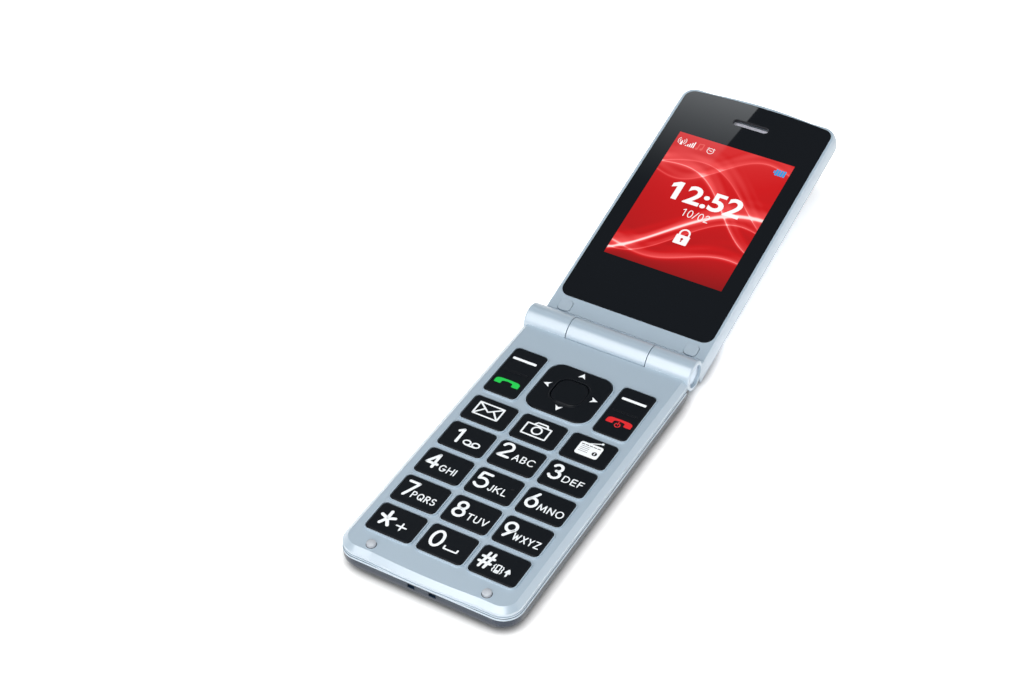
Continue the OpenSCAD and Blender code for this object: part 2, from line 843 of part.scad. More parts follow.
// Tab of the battery cover from a height up, widened by grow for its pocket
module snap_tab(grow, low) {
    translate([-tab_t / 2 - grow, -tab_l / 2 - grow, low])
        cube([tab_t + 2 * grow, tab_l + 2 * grow, cover_t + tab_h + grow - low]);
}

// Cover of the battery, a plate with tabs that snap into the lower housing
module battery_cover() {
    color(graphite) {
        translate([0, cover_y, 0]) rounded_block(cover_w, cover_l, cover_t, cover_corner - cover_gap);
        tab_places() snap_tab(0, cover_t / 2);
    }
}

// Keys --------------------------------------------------------------------------

// Rounded block with bevelled upper edges
module soft_block(w, l, h, r, soft) {
    rounded_block(w, l, h - soft, r);
    translate([0, 0, h - soft]) {
        bevel_prism(w, l - 2 * r, soft);
        rotate([0, 0, 90]) bevel_prism(l, w - 2 * r, soft);
        for (x = [-1, 1], y = [-1, 1]) translate([x * (w / 2 - r), y * (l / 2 - r), 0])
            cylinder(h = soft, r1 = r, r2 = r - soft);
    }
}

module bevel_prism(w, l, soft) {
    rotate([90, 0, 0]) linear_extrude(l, center = true)
        polygon([[-w / 2, 0], [w / 2, 0], [w / 2 - soft, soft], [-w / 2 + soft, soft]]);
}

// Key cap with the flange that keeps it under the face
module key_cap(w, l, r, top, flange) {
    rounded_block(w + 2 * flange_w, l + 2 * flange_w, flange, r + flange_w);
    soft_block(w, l, top - flange_z, r, edge_soft);
}

module number_key(column, row) {
    color(key_black) translate([column * column_pitch, row_0_y + row * row_pitch, flange_z])
        key_cap(key_w, key_h, key_corner, key_top, flange_t);
}

// Rocker with a low ridge between its two halves
module rocker(side) {
    color(key_black) translate([side * rocker_x, pad_y, flange_z]) {
        key_cap(rocker_w, pad_w, key_corner, key_top, tilt_flange_t);
        translate([-rocker_w / 2 + key_corner, -ridge_w / 2, key_top - flange_z - tiny])
            cube([rocker_w - 2 * key_corner, ridge_w, ridge_h]);
    }
}

module dpad() {
    hole_w = ok_w + 2 * ok_gap;
    ring_out = hole_w + 2 * ring_w;
    recess_w = ok_w + 2 * ok_flange_w + 2 * ok_flange_gap;
    color(key_black) translate([0, pad_y, flange_z]) difference() {
        union() {
            key_cap(pad_w, pad_w, pad_corner, key_top, tilt_flange_t);
            soft_block(ring_out, ring_out, key_top + ring_h - flange_z, ok_corner + ring_w, ring_h);
        }
        translate([0, 0, -over]) rounded_block(hole_w, hole_w, key_top, ok_corner + ok_gap);
        translate([0, 0, -over])
            rounded_block(recess_w, recess_w, over + ok_recess_h, ok_corner + ok_flange_w);
    }
}

// Ring between the navigation pad and the membrane on which the pad rocks
module dpad_pivot() {
    low = membrane_top - pivot_sunk;
    color(silicone) translate([0, pad_y, low]) difference() {
        cylinder(h = flange_z - pivot_gap - low, r = pivot_out);
        translate([0, 0, -over]) cylinder(h = flange_z, r = pivot_in);
    }
}

module ok_key() {
    color(key_black) translate([0, pad_y, flange_z]) {
        rounded_block(ok_w + 2 * ok_flange_w, ok_w + 2 * ok_flange_w, ok_flange_t, ok_corner);
        soft_block(ok_w, ok_w, ok_top - flange_z, ok_corner, edge_soft);
    }
}

module volume_key() {
    color(key_black) {
        into_left_side(-volume_proud, volume_y, volume_z)
            rounded_block(volume_l, volume_h, volume_proud + volume_in + volume_gap + tiny,
                volume_h / 2 - tiny);
        into_left_side(volume_in + volume_gap, volume_y, volume_z)
            rounded_block(volume_l + 2 * volume_flange, volume_h + 2 * volume_flange, volume_flange,
                pocket_r);
    }
}

// Lid: drawn lying flat, with Y measured from the hinge axis ----------------------

module lid_slab(low, high, lift) {
    mirror([0, 1, 0]) {
        rimmed_slab(lid_half, lid_bow - lid_l, -lid_near, lid_corner, low, high) children();
        translate([0, 0, lift]) rim_bow(lid_half, -lid_l, lid_corner, lid_bow, low, high) children();
    }
}

module lid_frame_section() {
    polygon([
        [0, lid_seam], [lid_corner, lid_seam], [lid_corner, lid_face - lid_edge_drop],
        [lid_corner - lid_mid_in, lid_face - lid_mid_drop],
        [lid_corner - lid_edge_in, lid_face], [0, lid_face]
    ]);
}

module lid_cover_section() {
    polygon([
        [0, lid_seam],
        for (i = [0:back_steps]) [
            lid_corner - lid_back_r * (1 - cos(90 * i / back_steps)),
            lid_seam - lid_back_r * sin(90 * i / back_steps)
        ],
        [0, lid_back]
    ]);
}

// Cuts the lid's near end round under the barrel and clear of the base's knuckles
module lid_near_cuts() {
    translate([0, lid_near, lid_back]) rotate([90, 0, 90]) linear_extrude(lid_w + 2 * over, center = true)
        difference() {
            translate([-over, -over]) square(lid_near_r + over);
            translate([lid_near_r, lid_near_r]) circle(lid_near_r);
        }
    for (side = [0, 1]) mirror([side, 0, 0])
        axis_rod(knuckle_half + knuckle_gap / 2, lid_half + over, lid_clear_r);
}

// Block of the lid between two distances from the hinge axis
module lid_block(w, near, far, low, high, r) {
    translate([0, (near + far) / 2, low]) rounded_block(w, far - near, high - low, r);
}

module lid_screw_places() {
    for (side = [-1, 1]) translate([side * plug_x, lid_screw_y, 0]) children();
}

module plug_shape(grow, low, high) {
    for (side = [-1, 1]) translate([side * plug_x, 0, 0])
        lid_block(plug_w + 2 * grow, plug_near - grow, plug_far + grow, low, high, plug_corner);
}

// Block with the window's outline, widened by grow on each side
module window_block(grow, low, high) {
    bow_r = bow_radius(lid_half - lid_corner, lid_bow);
    translate([0, 0, low]) linear_extrude(high - low)
        bowed_rect(window_w + 2 * grow, window_near - grow, lid_l - lid_corner - bow_r,
            bow_r + lid_corner - frame_far + grow, window_corner + grow);
}

module lid_frame() {
    window_far = window_near + window_l;
    cavity_w = window_w - 2 * ledge_w;
    module_far = module_y + module_l / 2;
    color(silver) at_lid() {
        difference() {
            union() {
                difference() {
                    lid_slab(lid_seam, lid_face, tiny) lid_frame_section();
                    lid_near_cuts();
                }
                axis_rod(-knuckle_half, knuckle_half, barrel_r);
                translate([-knuckle_half, web_near, web_low])
                    cube([2 * knuckle_half, lid_near_r + over, web_top - web_low]);
            }
            window_block(window_gap, window_seat, lid_face + over);
            // opening behind the display, then the room round the earpiece
            lid_block(cavity_w, window_near + ledge_w, module_far + bay_gap,
                lid_seam - over, lid_face, pocket_r);
            lid_block(cavity_w, module_far, window_far - ledge_w, lid_seam - over, grille_z, pocket_r);
            translate([0, ear_slot_y, lid_seam])
                rounded_block(ear_slot_w + grille_margin, ear_slot_h + grille_margin, lid_split, pocket_r);
            // room in front of the hinge
            lid_block(lid_room_w, lid_room_near, lid_room_far,
                lid_seam - over, lid_face - lid_room_roof, pocket_r);
            plug_shape(plug_gap, lid_face - plug_depth - seat_gap, lid_face + over);
            // crease beside the barrel
            translate([-lid_half - over, crease_y, lid_face - crease_depth])
                cube([lid_w + 2 * over, crease_w, crease_depth + over]);
            lid_screw_places() {
                translate([0, 0, lid_face - plug_depth - screw_head_h])
                    cylinder(h = plug_depth + screw_head_h, r = screw_head_r + bore_gap);
                translate([0, 0, lid_seam - over]) cylinder(h = lid_split, r = screw_r + bore_gap);
            }
            // bores of the spring cartridge and the tube
            axis_rod(-knuckle_half - over, can_end + seat_gap, can_r + seat_gap);
            axis_rod(tube_start - seat_gap, knuckle_half + over, tube_r + running_gap);
        }
    }
}

module lid_cover() {
    floor_z = lid_back + cover_wall;
    color(back_grey) at_lid() {
        difference() {
            lid_slab(lid_back, lid_seam, -tiny) lid_cover_section();
            lid_near_cuts();
            lid_block(lid_w - 2 * lid_wall, lid_room_far, lid_l - lid_wall, floor_z, lid_seam + over,
                lid_corner - lid_wall);
            translate([0, camera_y, lid_back - over])
                cylinder(h = cover_wall + 2 * over, r = camera_lens_r + lens_gap);
            lid_screw_places() translate([0, 0, floor_z]) cylinder(h = lid_t, r = screw_r + thread_gap);
        }
        for (x = [-lid_post_x, lid_post_x], y = lid_post_ys)
            translate([x, y, floor_z - tiny]) cylinder(h = lid_board_z - floor_z + tiny, r = lid_post_r);
    }
}

module display_window() {
    color(dark_glass) at_lid() difference() {
        window_block(0, lid_face - window_t, lid_face);
        translate([0, ear_slot_y, lid_face - 2 * window_t])
            rounded_block(ear_slot_w, ear_slot_h, 3 * window_t, ear_slot_h / 2 - tiny);
    }
}

module display_module() {
    color(picture_red) at_lid() translate([0, module_y, module_top - module_t])
        rounded_block(module_w, module_l, module_t, pocket_r);
}

// Metal mesh under the earpiece slot
module earpiece_grille() {
    color(steel) at_lid() translate([0, ear_slot_y, grille_z - grille_t])
        rounded_block(ear_slot_w + 2 * grille_margin, ear_slot_h + 2 * grille_margin, grille_t, pocket_r);
}

module earpiece() {
    color(black_plastic) at_lid() translate([0, ear_slot_y, grille_z - grille_t - ear_t])
        rounded_block(ear_w, ear_l, ear_t, 2 * pocket_r);
}

module lid_board() {
    color(board_green) at_lid() difference() {
        lid_block(lid_board_w, lid_board_near, lid_board_far, lid_board_z, lid_seam, 1.5 * pocket_r);
        translate([0, camera_y, lid_board_z - over])
            rounded_block(camera_w + 2 * camera_gap, camera_w + 2 * camera_gap, lid_board_t + 2 * over,
                pocket_r);
    }
}

module camera_module() {
    low = lid_back + cover_wall;
    color(key_black) at_lid() translate([0, camera_y, low])
        rounded_block(camera_w, camera_w, module_top - module_t - seat_gap - low, pocket_r);
}

module camera_lens() {
    color(dark_glass) at_lid() translate([0, camera_y, lid_back + cover_wall - camera_glass_t])
        cylinder(h = camera_glass_t, r = camera_lens_r);
}

module screw_plugs() {
    color(silver) at_lid() plug_shape(0, lid_face - plug_depth, lid_face + plug_proud);
}

module lid_screws() {
    color(steel) at_lid() lid_screw_places()
        translate([0, 0, lid_face - plug_depth]) mirror([0, 0, 1])
            screw(lid_t - plug_depth - cover_wall - 2 * bore_gap);
}

module lid_magnet() {
    color(steel) at_lid() translate([magnet_x, magnet_y, grille_z - magnet_t])
        rounded_block(magnet_w, 2 * magnet_w, magnet_t, magnet_t / 3);
}

// Spring cartridge: its can turns with the lid, its shaft seats in the left knuckle
module hinge_cartridge() {
    can_start = -knuckle_half + knuckle_gap;
    color(steel) at_lid() {
        axis_rod(can_start, can_end, can_r);
        axis_rod(-shaft_end, can_start + over, shaft_r);
    }
}

// Hollow pivot through which the flexible circuit passes
module hinge_tube() {
    color(steel) at_lid() difference() {
        axis_rod(tube_start, shaft_end, tube_r);
        axis_rod(tube_start - over, shaft_end + over, tube_r - tube_wall);
    }
}

module hinge_flex() {
    color(polyimide) at_lid() difference() {
        axis_rod(tube_start + flex_end, shaft_end - flex_end, flex_r);
        axis_rod(tube_start, shaft_end, flex_r - flex_wall);
    }
}

upper_housing();
lower_housing();
main_board();
dome_sheet();
keypad_membrane();
battery_contacts();
battery();
sim_holder();
loudspeaker();
microphone();
vibration_motor();
usb_port();
bumper_pads();
housing_screws();
hinge_caps();
battery_cover();
volume_key();
rocker(-1);  // left_rocker
rocker(1);  // right_rocker
dpad_pivot();
dpad();
ok_key();
number_key(-1, 4);  // key_message
number_key(0, 4);  // key_camera
number_key(1, 4);  // key_radio
number_key(-1, 3);  // key_1
number_key(0, 3);  // key_2
number_key(1, 3);  // key_3
number_key(-1, 2);  // key_4
number_key(0, 2);  // key_5
number_key(1, 2);  // key_6
number_key(-1, 1);  // key_7
number_key(0, 1);  // key_8
number_key(1, 1);  // key_9
number_key(-1, 0);  // key_star
number_key(0, 0);  // key_0
number_key(1, 0);  // key_hash
lid_frame();
lid_cover();
display_window();
display_module();
earpiece();
earpiece_grille();
lid_board();
camera_module();
camera_lens();
screw_plugs();
lid_screws();
hinge_cartridge();
hinge_tube();
hinge_flex();
lid_magnet();
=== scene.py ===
import json
import math
import bmesh
import bpy
from mathutils import Matrix, Vector


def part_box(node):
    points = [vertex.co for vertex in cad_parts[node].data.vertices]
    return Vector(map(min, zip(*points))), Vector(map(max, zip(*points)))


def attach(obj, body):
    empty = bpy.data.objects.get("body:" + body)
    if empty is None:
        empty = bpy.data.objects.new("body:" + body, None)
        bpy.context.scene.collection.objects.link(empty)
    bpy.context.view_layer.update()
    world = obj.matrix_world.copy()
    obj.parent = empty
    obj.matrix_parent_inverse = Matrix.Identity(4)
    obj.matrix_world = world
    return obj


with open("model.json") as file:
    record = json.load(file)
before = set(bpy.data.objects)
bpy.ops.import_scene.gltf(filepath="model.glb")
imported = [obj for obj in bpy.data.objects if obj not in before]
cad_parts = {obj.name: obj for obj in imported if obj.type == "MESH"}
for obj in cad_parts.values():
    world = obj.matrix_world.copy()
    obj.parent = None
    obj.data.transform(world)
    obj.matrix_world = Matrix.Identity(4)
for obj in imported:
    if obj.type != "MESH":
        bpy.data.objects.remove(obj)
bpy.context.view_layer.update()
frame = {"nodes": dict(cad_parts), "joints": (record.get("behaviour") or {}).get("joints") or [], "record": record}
mm = 0.001
scene = bpy.context.scene
scene.view_settings.view_transform = "Standard"
nodes = frame["nodes"]
hinge = next(j for j in frame["joints"] if j["name"] == "lid_hinge")
openAngle = math.radians(180 - hinge["range_deg"][1])
# what is drawn with the lid lying flat, y from the hinge axis, goes through this
lidPlace = Matrix.Translation(hinge["pos_m"]) @ Matrix.Rotation(openAngle, 4, "X")
lidFace = -2.55  # height of the window over the hinge axis, lid lying flat
print("frame loaded:", len(nodes), "nodes")


cameraPlan = {"place": (0.185376, -0.313721, 0.366380), "turn": (48.7845, 0.9740, 30.0073),
              "sensor": 36, "lens": 70.082, "near": 0.01}
camera = bpy.data.objects.new("camera", bpy.data.cameras.new("camera"))
camera.location = cameraPlan["place"]
camera.rotation_euler = [math.radians(a) for a in cameraPlan["turn"]]
camera.data.sensor_width = cameraPlan["sensor"]
camera.data.lens = cameraPlan["lens"]
camera.data.clip_start = cameraPlan["near"]
scene.collection.objects.link(camera)
scene.camera = camera

# radiance is what a mirror would show of the lamp
lampAim = Vector((0, 0.04, 0))  # every lamp points at the hinge
lampPlan = {
    "keyLamp": {"place": (0.4, -0.38, 1.13), "size": (0.8, 0.8), "radiance": 2.5, "glossy": False},
    "frontLamp": {"place": (0.0, -0.8, 1.0), "size": (1.4, 1.8), "radiance": 1.8, "glossy": True},
    "sideLamp": {"place": (0.95, 0.5, 0.5), "size": (0.7, 0.7), "radiance": 0.3, "glossy": True},
}
for name, plan in lampPlan.items():
    lamp = bpy.data.lights.new(name, "AREA")
    lamp.shape = "RECTANGLE"
    lamp.size, lamp.size_y = plan["size"]
    lamp.energy = plan["radiance"] * 4 * lamp.size * lamp.size_y  # watts for that radiance
    stand = bpy.data.objects.new(name, lamp)
    stand.location = plan["place"]
    aim = lampAim - stand.location
    stand.rotation_euler = aim.to_track_quat("-Z", "Y").to_euler()
    stand.visible_glossy = plan["glossy"]
    scene.collection.objects.link(stand)


# shader maths: an expression on signals adds its nodes
class Signal:
    def __init__(self, tree, socket):
        self.tree, self.socket = tree, socket

    def join(self, operation, first, second):
        step = self.tree.nodes.new("ShaderNodeMath")
        step.operation = operation
        feed(self.tree, step.inputs[0], first)
        feed(self.tree, step.inputs[1], second)
        return Signal(self.tree, step.outputs[0])

    def do(self, operation, other=0.0):
        return self.join(operation, self, other)

    def __add__(self, other):
        return self.join("ADD", self, other)

    def __sub__(self, other):
        return self.join("SUBTRACT", self, other)

    def __rsub__(self, other):
        return self.join("SUBTRACT", other, self)

    def __mul__(self, other):
        return self.join("MULTIPLY", self, other)

    def __truediv__(self, other):
        return self.join("DIVIDE", self, other)

    def __rtruediv__(self, other):
        return self.join("DIVIDE", other, self)

    def __pow__(self, other):
        return self.join("POWER", self, other)

    def __gt__(self, other):
        return self.join("GREATER_THAN", self, other)

    __radd__, __rmul__ = __add__, __mul__


def feed(tree, socket, value):
    if isinstance(value, Signal):
        tree.links.new(value.socket, socket)
    else:
        socket.default_value = value


def setStops(ramp, stops):
    # stops are (place, rgb)
    for index, (place, colour) in enumerate(stops):
        stop = ramp.elements[index] if index < len(ramp.elements) else ramp.elements.new(place)
        stop.position, stop.color = place, (*colour, 1)


def grey(value):
    return (value, value, value)


class Finish:
    def __init__(self, name, constants):
        self.material = bpy.data.materials.new(name)
        self.material.use_nodes = True
        self.tree = self.material.node_tree
        self.shader = self.tree.nodes["Principled BSDF"]
        for socket, value in constants.items():
            self.shader.inputs[socket].default_value = value

    def node(self, kind, settings=None, inputs=None, output=0):
        made = self.tree.nodes.new("ShaderNode" + kind)
        for key, value in (settings or {}).items():
            if key == "stops":
                setStops(made.color_ramp, value)
            else:
                setattr(made, key, value)
        for socket, value in (inputs or {}).items():
            feed(self.tree, made.inputs[socket], value)
        return Signal(self.tree, made.outputs[output])

    def place(self, scale=(1, 1, 1), turn=(0, 0, 0), shift=(0, 0, 0)):
        coordinates = self.node("TexCoord", output="Object")
        return self.node("Mapping", {"vector_type": "POINT"},
                         {"Vector": coordinates, "Location": shift, "Rotation": turn, "Scale": scale})

    def grain(self, size, stretch=(1, 1, 1)):
        # size is one grain's width in metres
        where = self.place(scale=tuple(s / size for s in stretch))
        return self.node("TexNoise", inputs={"Vector": where, "Scale": 1.0, "Detail": 3})

    def mixColour(self, share, first, second):
        ends = {6: (*first, 1), 7: (*second, 1)}
        return self.node("Mix", {"data_type": "RGBA"}, {"Factor": share, **ends}, output=2)

    def relief(self, height, depth, soft):
        # grain in the surface, over edges softened by a radius
        edge = self.node("Bevel", {"samples": 4}, {"Radius": soft})
        self.vary("Normal", self.node("Bump", inputs={"Height": height, "Distance": depth, "Strength": 1.0,
                                                      "Normal": edge}))

    def vary(self, socket, signal):
        self.tree.links.new(signal.socket, self.shader.inputs[socket])

    def surface(self, signal):
        self.tree.links.new(signal.socket, self.tree.nodes["Material Output"].inputs["Surface"])


finishes = {}


def plainFinish(slot, plan):
    # colour, roughness and relief that vary with one grain
    finish = Finish(slot, {"Metallic": plan.get("metallic", 0.0), "IOR": plan.get("ior", 1.5),
                           "Specular IOR Level": plan.get("specular", 0.5),
                           "Coat Weight": plan.get("coat", 0.0),
                           "Coat Roughness": plan.get("coatRoughness", 0.1)})
    grain = finish.grain(plan["grain"] * mm, plan.get("stretch", (1, 1, 1)))
    broad = finish.grain(plan.get("broad", 9.0) * mm)
    colour = Vector(plan["colour"])
    low, high = colour * (1 - plan["spread"]), colour * (1 + plan["spread"])
    cloud = grain * 0.7 + broad * 0.3
    finish.vary("Base Color", finish.mixColour(cloud, low, high))
    finish.vary("Roughness", plan["roughness"] + (cloud - 0.5) * plan["roughSpread"])
    finish.relief(grain, plan["depth"] * mm, plan.get("soft", 0.12) * mm)
    finishes[slot] = finish.material


# grain, broad, depth and soft are in millimetres
finishPlan = {
    "silver_paint": {"colour": (0.35, 0.448, 0.535), "ior": 2.7, "roughness": 0.3, "roughSpread": 0.1,
                     "spread": 0.035, "grain": 0.09, "depth": 0.002, "stretch": (0.1, 1, 1), "soft": 0.06},
    "silver_plugs": {"colour": (0.47, 0.57, 0.66), "metallic": 0.4, "roughness": 0.42, "roughSpread": 0.08,
                     "spread": 0.03, "grain": 0.09, "depth": 0.002, "soft": 0.15},
    "graphite_plastic": {"colour": (0.007, 0.018, 0.038), "roughness": 0.24, "specular": 0.4,
                         "roughSpread": 0.08, "spread": 0.12, "grain": 0.16, "depth": 0.004, "soft": 0.2},
    "lid_back_plastic": {"colour": (0.42, 0.48, 0.56), "metallic": 0.35, "roughness": 0.4,
                         "roughSpread": 0.08, "spread": 0.04, "grain": 0.1, "depth": 0.002, "soft": 0.25},
    "circuit_board": {"colour": (0.012, 0.11, 0.045), "roughness": 0.4, "roughSpread": 0.1,
                      "spread": 0.2, "grain": 0.5, "depth": 0.01, "broad": 2.5},
    "steel": {"colour": (0.62, 0.63, 0.65), "metallic": 1.0, "roughness": 0.3, "roughSpread": 0.12,
              "spread": 0.05, "grain": 0.06, "depth": 0.002, "stretch": (0.15, 1, 1)},
    "silicone": {"colour": (0.55, 0.56, 0.58), "roughness": 0.62, "roughSpread": 0.08,
                 "spread": 0.05, "grain": 0.2, "depth": 0.004, "ior": 1.41},
    "gold_contact": {"colour": (0.83, 0.6, 0.22), "metallic": 1.0, "roughness": 0.24, "roughSpread": 0.08,
                     "spread": 0.05, "grain": 0.08, "depth": 0.001},
    "battery_can": {"colour": (0.6, 0.61, 0.63), "metallic": 0.3, "roughness": 0.45, "roughSpread": 0.1,
                    "spread": 0.05, "grain": 0.12, "depth": 0.003},
    "black_plastic": {"colour": (0.02, 0.02, 0.022), "roughness": 0.5, "roughSpread": 0.1,
                      "spread": 0.2, "grain": 0.15, "depth": 0.004},
    "rubber_pad": {"colour": (0.42, 0.45, 0.49), "roughness": 0.5, "roughSpread": 0.08,
                   "spread": 0.06, "grain": 0.12, "depth": 0.003, "ior": 1.41, "soft": 0.2},
    "barrel_metal": {"colour": (0.56, 0.63, 0.71), "metallic": 0.8, "roughness": 0.3, "roughSpread": 0.08,
                     "spread": 0.03, "grain": 0.07, "depth": 0.001, "soft": 0.15},
    "key_black": {"colour": (0.002, 0.0036, 0.006), "roughness": 0.3, "roughSpread": 0.08, "specular": 0.2,
                  "spread": 0.15, "grain": 0.11, "depth": 0.002},
    "window_glass": {"colour": (0.0018, 0.0034, 0.0058), "roughness": 0.012, "roughSpread": 0.004,
                     "spread": 0.05, "grain": 3.0, "depth": 0.0, "ior": 1.52, "soft": 0.15},
    "display_panel": {"colour": (0.02, 0.02, 0.022), "roughness": 0.25, "roughSpread": 0.05,
                      "spread": 0.1, "grain": 0.3, "depth": 0.001},
    "grille_mesh": {"colour": (0.66, 0.66, 0.74), "metallic": 0.3, "roughness": 0.38, "roughSpread": 0.1,
                    "spread": 0.06, "grain": 0.08, "depth": 0.002},
    "lens_glass": {"colour": (0.006, 0.006, 0.012), "roughness": 0.03, "roughSpread": 0.01,
                   "spread": 0.1, "grain": 1.0, "depth": 0.0, "coat": 1.0, "coatRoughness": 0.02},
    "polyimide": {"colour": (0.5, 0.22, 0.03), "roughness": 0.35, "roughSpread": 0.08,
                  "spread": 0.1, "grain": 0.3, "depth": 0.002},
    "white_ink": {"colour": (0.83, 0.87, 0.9), "roughness": 0.4, "roughSpread": 0.06,
                  "spread": 0.02, "grain": 0.1, "depth": 0.001, "soft": 0.05},
    "green_ink": {"colour": (0.008, 0.55, 0.07), "roughness": 0.4, "roughSpread": 0.06,
                  "spread": 0.04, "grain": 0.1, "depth": 0.001, "soft": 0.05},
    "red_ink": {"colour": (0.66, 0.012, 0.016), "roughness": 0.4, "roughSpread": 0.06,
                "spread": 0.04, "grain": 0.1, "depth": 0.001, "soft": 0.05},
}
for slot, plan in finishPlan.items():
    plainFinish(slot, plan)
for part in frame["record"]["subparts"]:
    for holder in nodes[part["node"]].material_slots:
        holder.material = finishes[part["material_slot"]]
print("finishes:", len(finishes))


# white paper under the phone: boost adds light for rays that are seen, contact is how far the painted shade round
# the phone reaches in millimetres, and over the two distances of fade the paper turns into plain white
floorPlan = {"half": 3.0, "drop": 0.00005, "albedo": 0.9, "boost": 0.6, "contact": 4.5, "fade": (0.4, 1.0),
             "roughness": (0.95, 0.05), "speckle": 2.0}


def flatMesh(name, corners):
    mesh = bpy.data.meshes.new(name)
    mesh.from_pydata(corners, [], [list(range(len(corners)))])
    piece = bpy.data.objects.new(name, mesh)
    scene.collection.objects.link(piece)
    return piece


half, drop = floorPlan["half"], floorPlan["drop"]
floor = flatMesh("floor", [(x * half, y * half, -drop) for x, y in ((-1, -1), (1, -1), (1, 1), (-1, 1))])
paper = Finish("paper", {})
lit = Signal(paper.tree, paper.shader.outputs[0])
direct, glossy, through = (paper.node("LightPath", output="Is " + ray + " Ray")
                           for ray in ("Camera", "Glossy", "Transmission"))
seen = direct + glossy + through
rough, roughMore = floorPlan["roughness"]
paper.vary("Roughness", rough + paper.grain(floorPlan["speckle"] * mm) * roughMore)
# painted contact shadow: occlusion near the phone darkens the paper's colour and its boost
near = paper.node("AmbientOcclusion", {"samples": 16}, {"Distance": floorPlan["contact"] * mm}, output="AO")
paper.vary("Base Color", paper.mixColour(near, grey(0), grey(floorPlan["albedo"])))
boost = paper.node("BsdfDiffuse", inputs={"Color": paper.mixColour(near, grey(0), grey(floorPlan["boost"]))})
both = paper.node("AddShader", inputs={0: lit, 1: boost})
shown = paper.node("MixShader", inputs={"Fac": seen, 1: lit, 2: both})
reach = paper.node("VectorMath", {"operation": "LENGTH"}, {0: paper.place()}, output="Value")
fadeFrom, fadeTo = floorPlan["fade"]
fade = paper.node("MapRange", {"clamp": True}, {"Value": reach, "From Min": fadeFrom, "From Max": fadeTo})
white = paper.node("Emission", inputs={"Color": (*grey(1), 1)})
distant = paper.node("MixShader", inputs={"Fac": fade * seen, 1: shown, 2: white})
under = paper.node("NewGeometry", output="Backfacing")
paper.surface(paper.node("MixShader", inputs={"Fac": under, 1: distant, 2: paper.node("BsdfTransparent")}))
floor.data.materials.append(paper.material)
floor.visible_diffuse = False  # the world lights the underside

# the panel whose slanted edge shows in the window
panelPlan = {"low": (-0.268, 0.372), "high": (-0.2385, 0.485), "left": -0.45, "z": 0.7,
             "colour": (0.93, 0.97, 1, 1), "radiance": 2.6, "least": 0.17, "fade": 2.2, "rim": 0.02}
lowX, lowY = panelPlan["low"]
highX, highY = panelPlan["high"]
panel = flatMesh("panel", [(lowX, lowY, panelPlan["z"]), (panelPlan["left"], lowY, panelPlan["z"]),
                           (panelPlan["left"], highY, panelPlan["z"]), (highX, highY, panelPlan["z"])])
panelGlow = Finish("panelGlow", {})
along = panelGlow.node("SeparateXYZ", inputs={0: panelGlow.place(shift=(0, -lowY, 0))}, output=1)
fadeTo = highY - lowY - panelPlan["rim"]
fade = panelGlow.node("MapRange", {"clamp": True}, {"Value": along, "From Max": fadeTo})
glow = fade ** panelPlan["fade"] * panelPlan["radiance"] + panelPlan["least"]
panelGlow.surface(panelGlow.node("Emission", inputs={"Color": panelPlan["colour"], "Strength": glow}))
panel.data.materials.append(panelGlow.material)
panel.visible_camera = panel.visible_diffuse = panel.visible_shadow = False

# pale at the horizon, dim overhead, white where the camera looks past the floor
skyPlan = [(0.12, grey(1.0)), (0.45, grey(0.34)), (0.75, grey(0.16))]
world = bpy.data.worlds.new("studio")
world.use_nodes = True
scene.world = world
sky = world.node_tree
up, shade = sky.nodes.new("ShaderNodeSeparateXYZ"), sky.nodes.new("ShaderNodeValToRGB")
setStops(shade.color_ramp, skyPlan)
seenSky = sky.nodes.new("ShaderNodeMix")
seenSky.data_type = "RGBA"
seenSky.inputs[7].default_value = (*grey(1), 1)
sky.links.new(sky.nodes.new("ShaderNodeTexCoord").outputs["Generated"], up.inputs[0])
sky.links.new(up.outputs["Z"], shade.inputs[0])
sky.links.new(sky.nodes.new("ShaderNodeLightPath").outputs["Is Camera Ray"], seenSky.inputs["Factor"])
sky.links.new(shade.outputs[0], seenSky.inputs[6])
sky.links.new(seenSky.outputs[2], sky.nodes["Background"].inputs["Color"])
print("camera, lamps, floor and world made")


def keep(piece, body, finish):
    # every finished piece goes through here
    piece.data.materials.clear()
    piece.data.materials.append(finishes[finish])
    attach(piece, body)


def newPiece(name, mesh, place=Matrix.Identity(4)):
    mesh.transform(place)
    piece = bpy.data.objects.new(name, mesh)
    scene.collection.objects.link(piece)
    return piece


def meshFrom(form, name):
    bmesh.ops.recalc_face_normals(form, faces=form.faces)
    mesh = bpy.data.meshes.new(name)
    form.to_mesh(mesh)
    form.free()
    return mesh


def wallsBetween(form, rings):
    # faces between each ring of points and the next
    for near, far in zip(rings, rings[1:]):
        for i in range(len(near)):
            j = (i + 1) % len(near)
            form.faces.new((near[i], near[j], far[j], far[i]))


def plates(outlines, low, high):
    # closed prisms over flat outlines, in millimetres
    form = bmesh.new()
    for outline in outlines:
        rings = [[form.verts.new((x * mm, y * mm, z * mm)) for x, y in outline] for z in (low, high)]
        form.faces.new(rings[1])
        form.faces.new(rings[0][::-1])
        wallsBetween(form, rings)
    return meshFrom(form, "plates")


def joined(name, meshes, place=Matrix.Identity(4)):
    form = bmesh.new()
    for mesh in meshes:
        form.from_mesh(mesh)
    whole = bpy.data.meshes.new(name)
    form.to_mesh(whole)
    form.free()
    return newPiece(name, whole, place)


def arc(cx, cy, rx, ry, start, end, steps=14):
    turns = [math.radians(start + (end - start) * i / steps) for i in range(steps + 1)]
    return [(cx + rx * math.cos(a), cy + ry * math.sin(a)) for a in turns]


def circle(cx, cy, r, steps=16):
    return arc(cx, cy, r, r, 0, 360, steps)


def disc(cx, cy, r, steps=16):
    return circle(cx, cy, r, steps)[:-1]


def roundBox(left, right, low, high, r, steps=5):
    bends = [(right - r, high - r, 0), (left + r, high - r, 90), (left + r, low + r, 180),
             (right - r, low + r, 270)]
    return [p for cx, cy, a in bends for p in arc(cx, cy, r, r, a, a + 90, steps)]


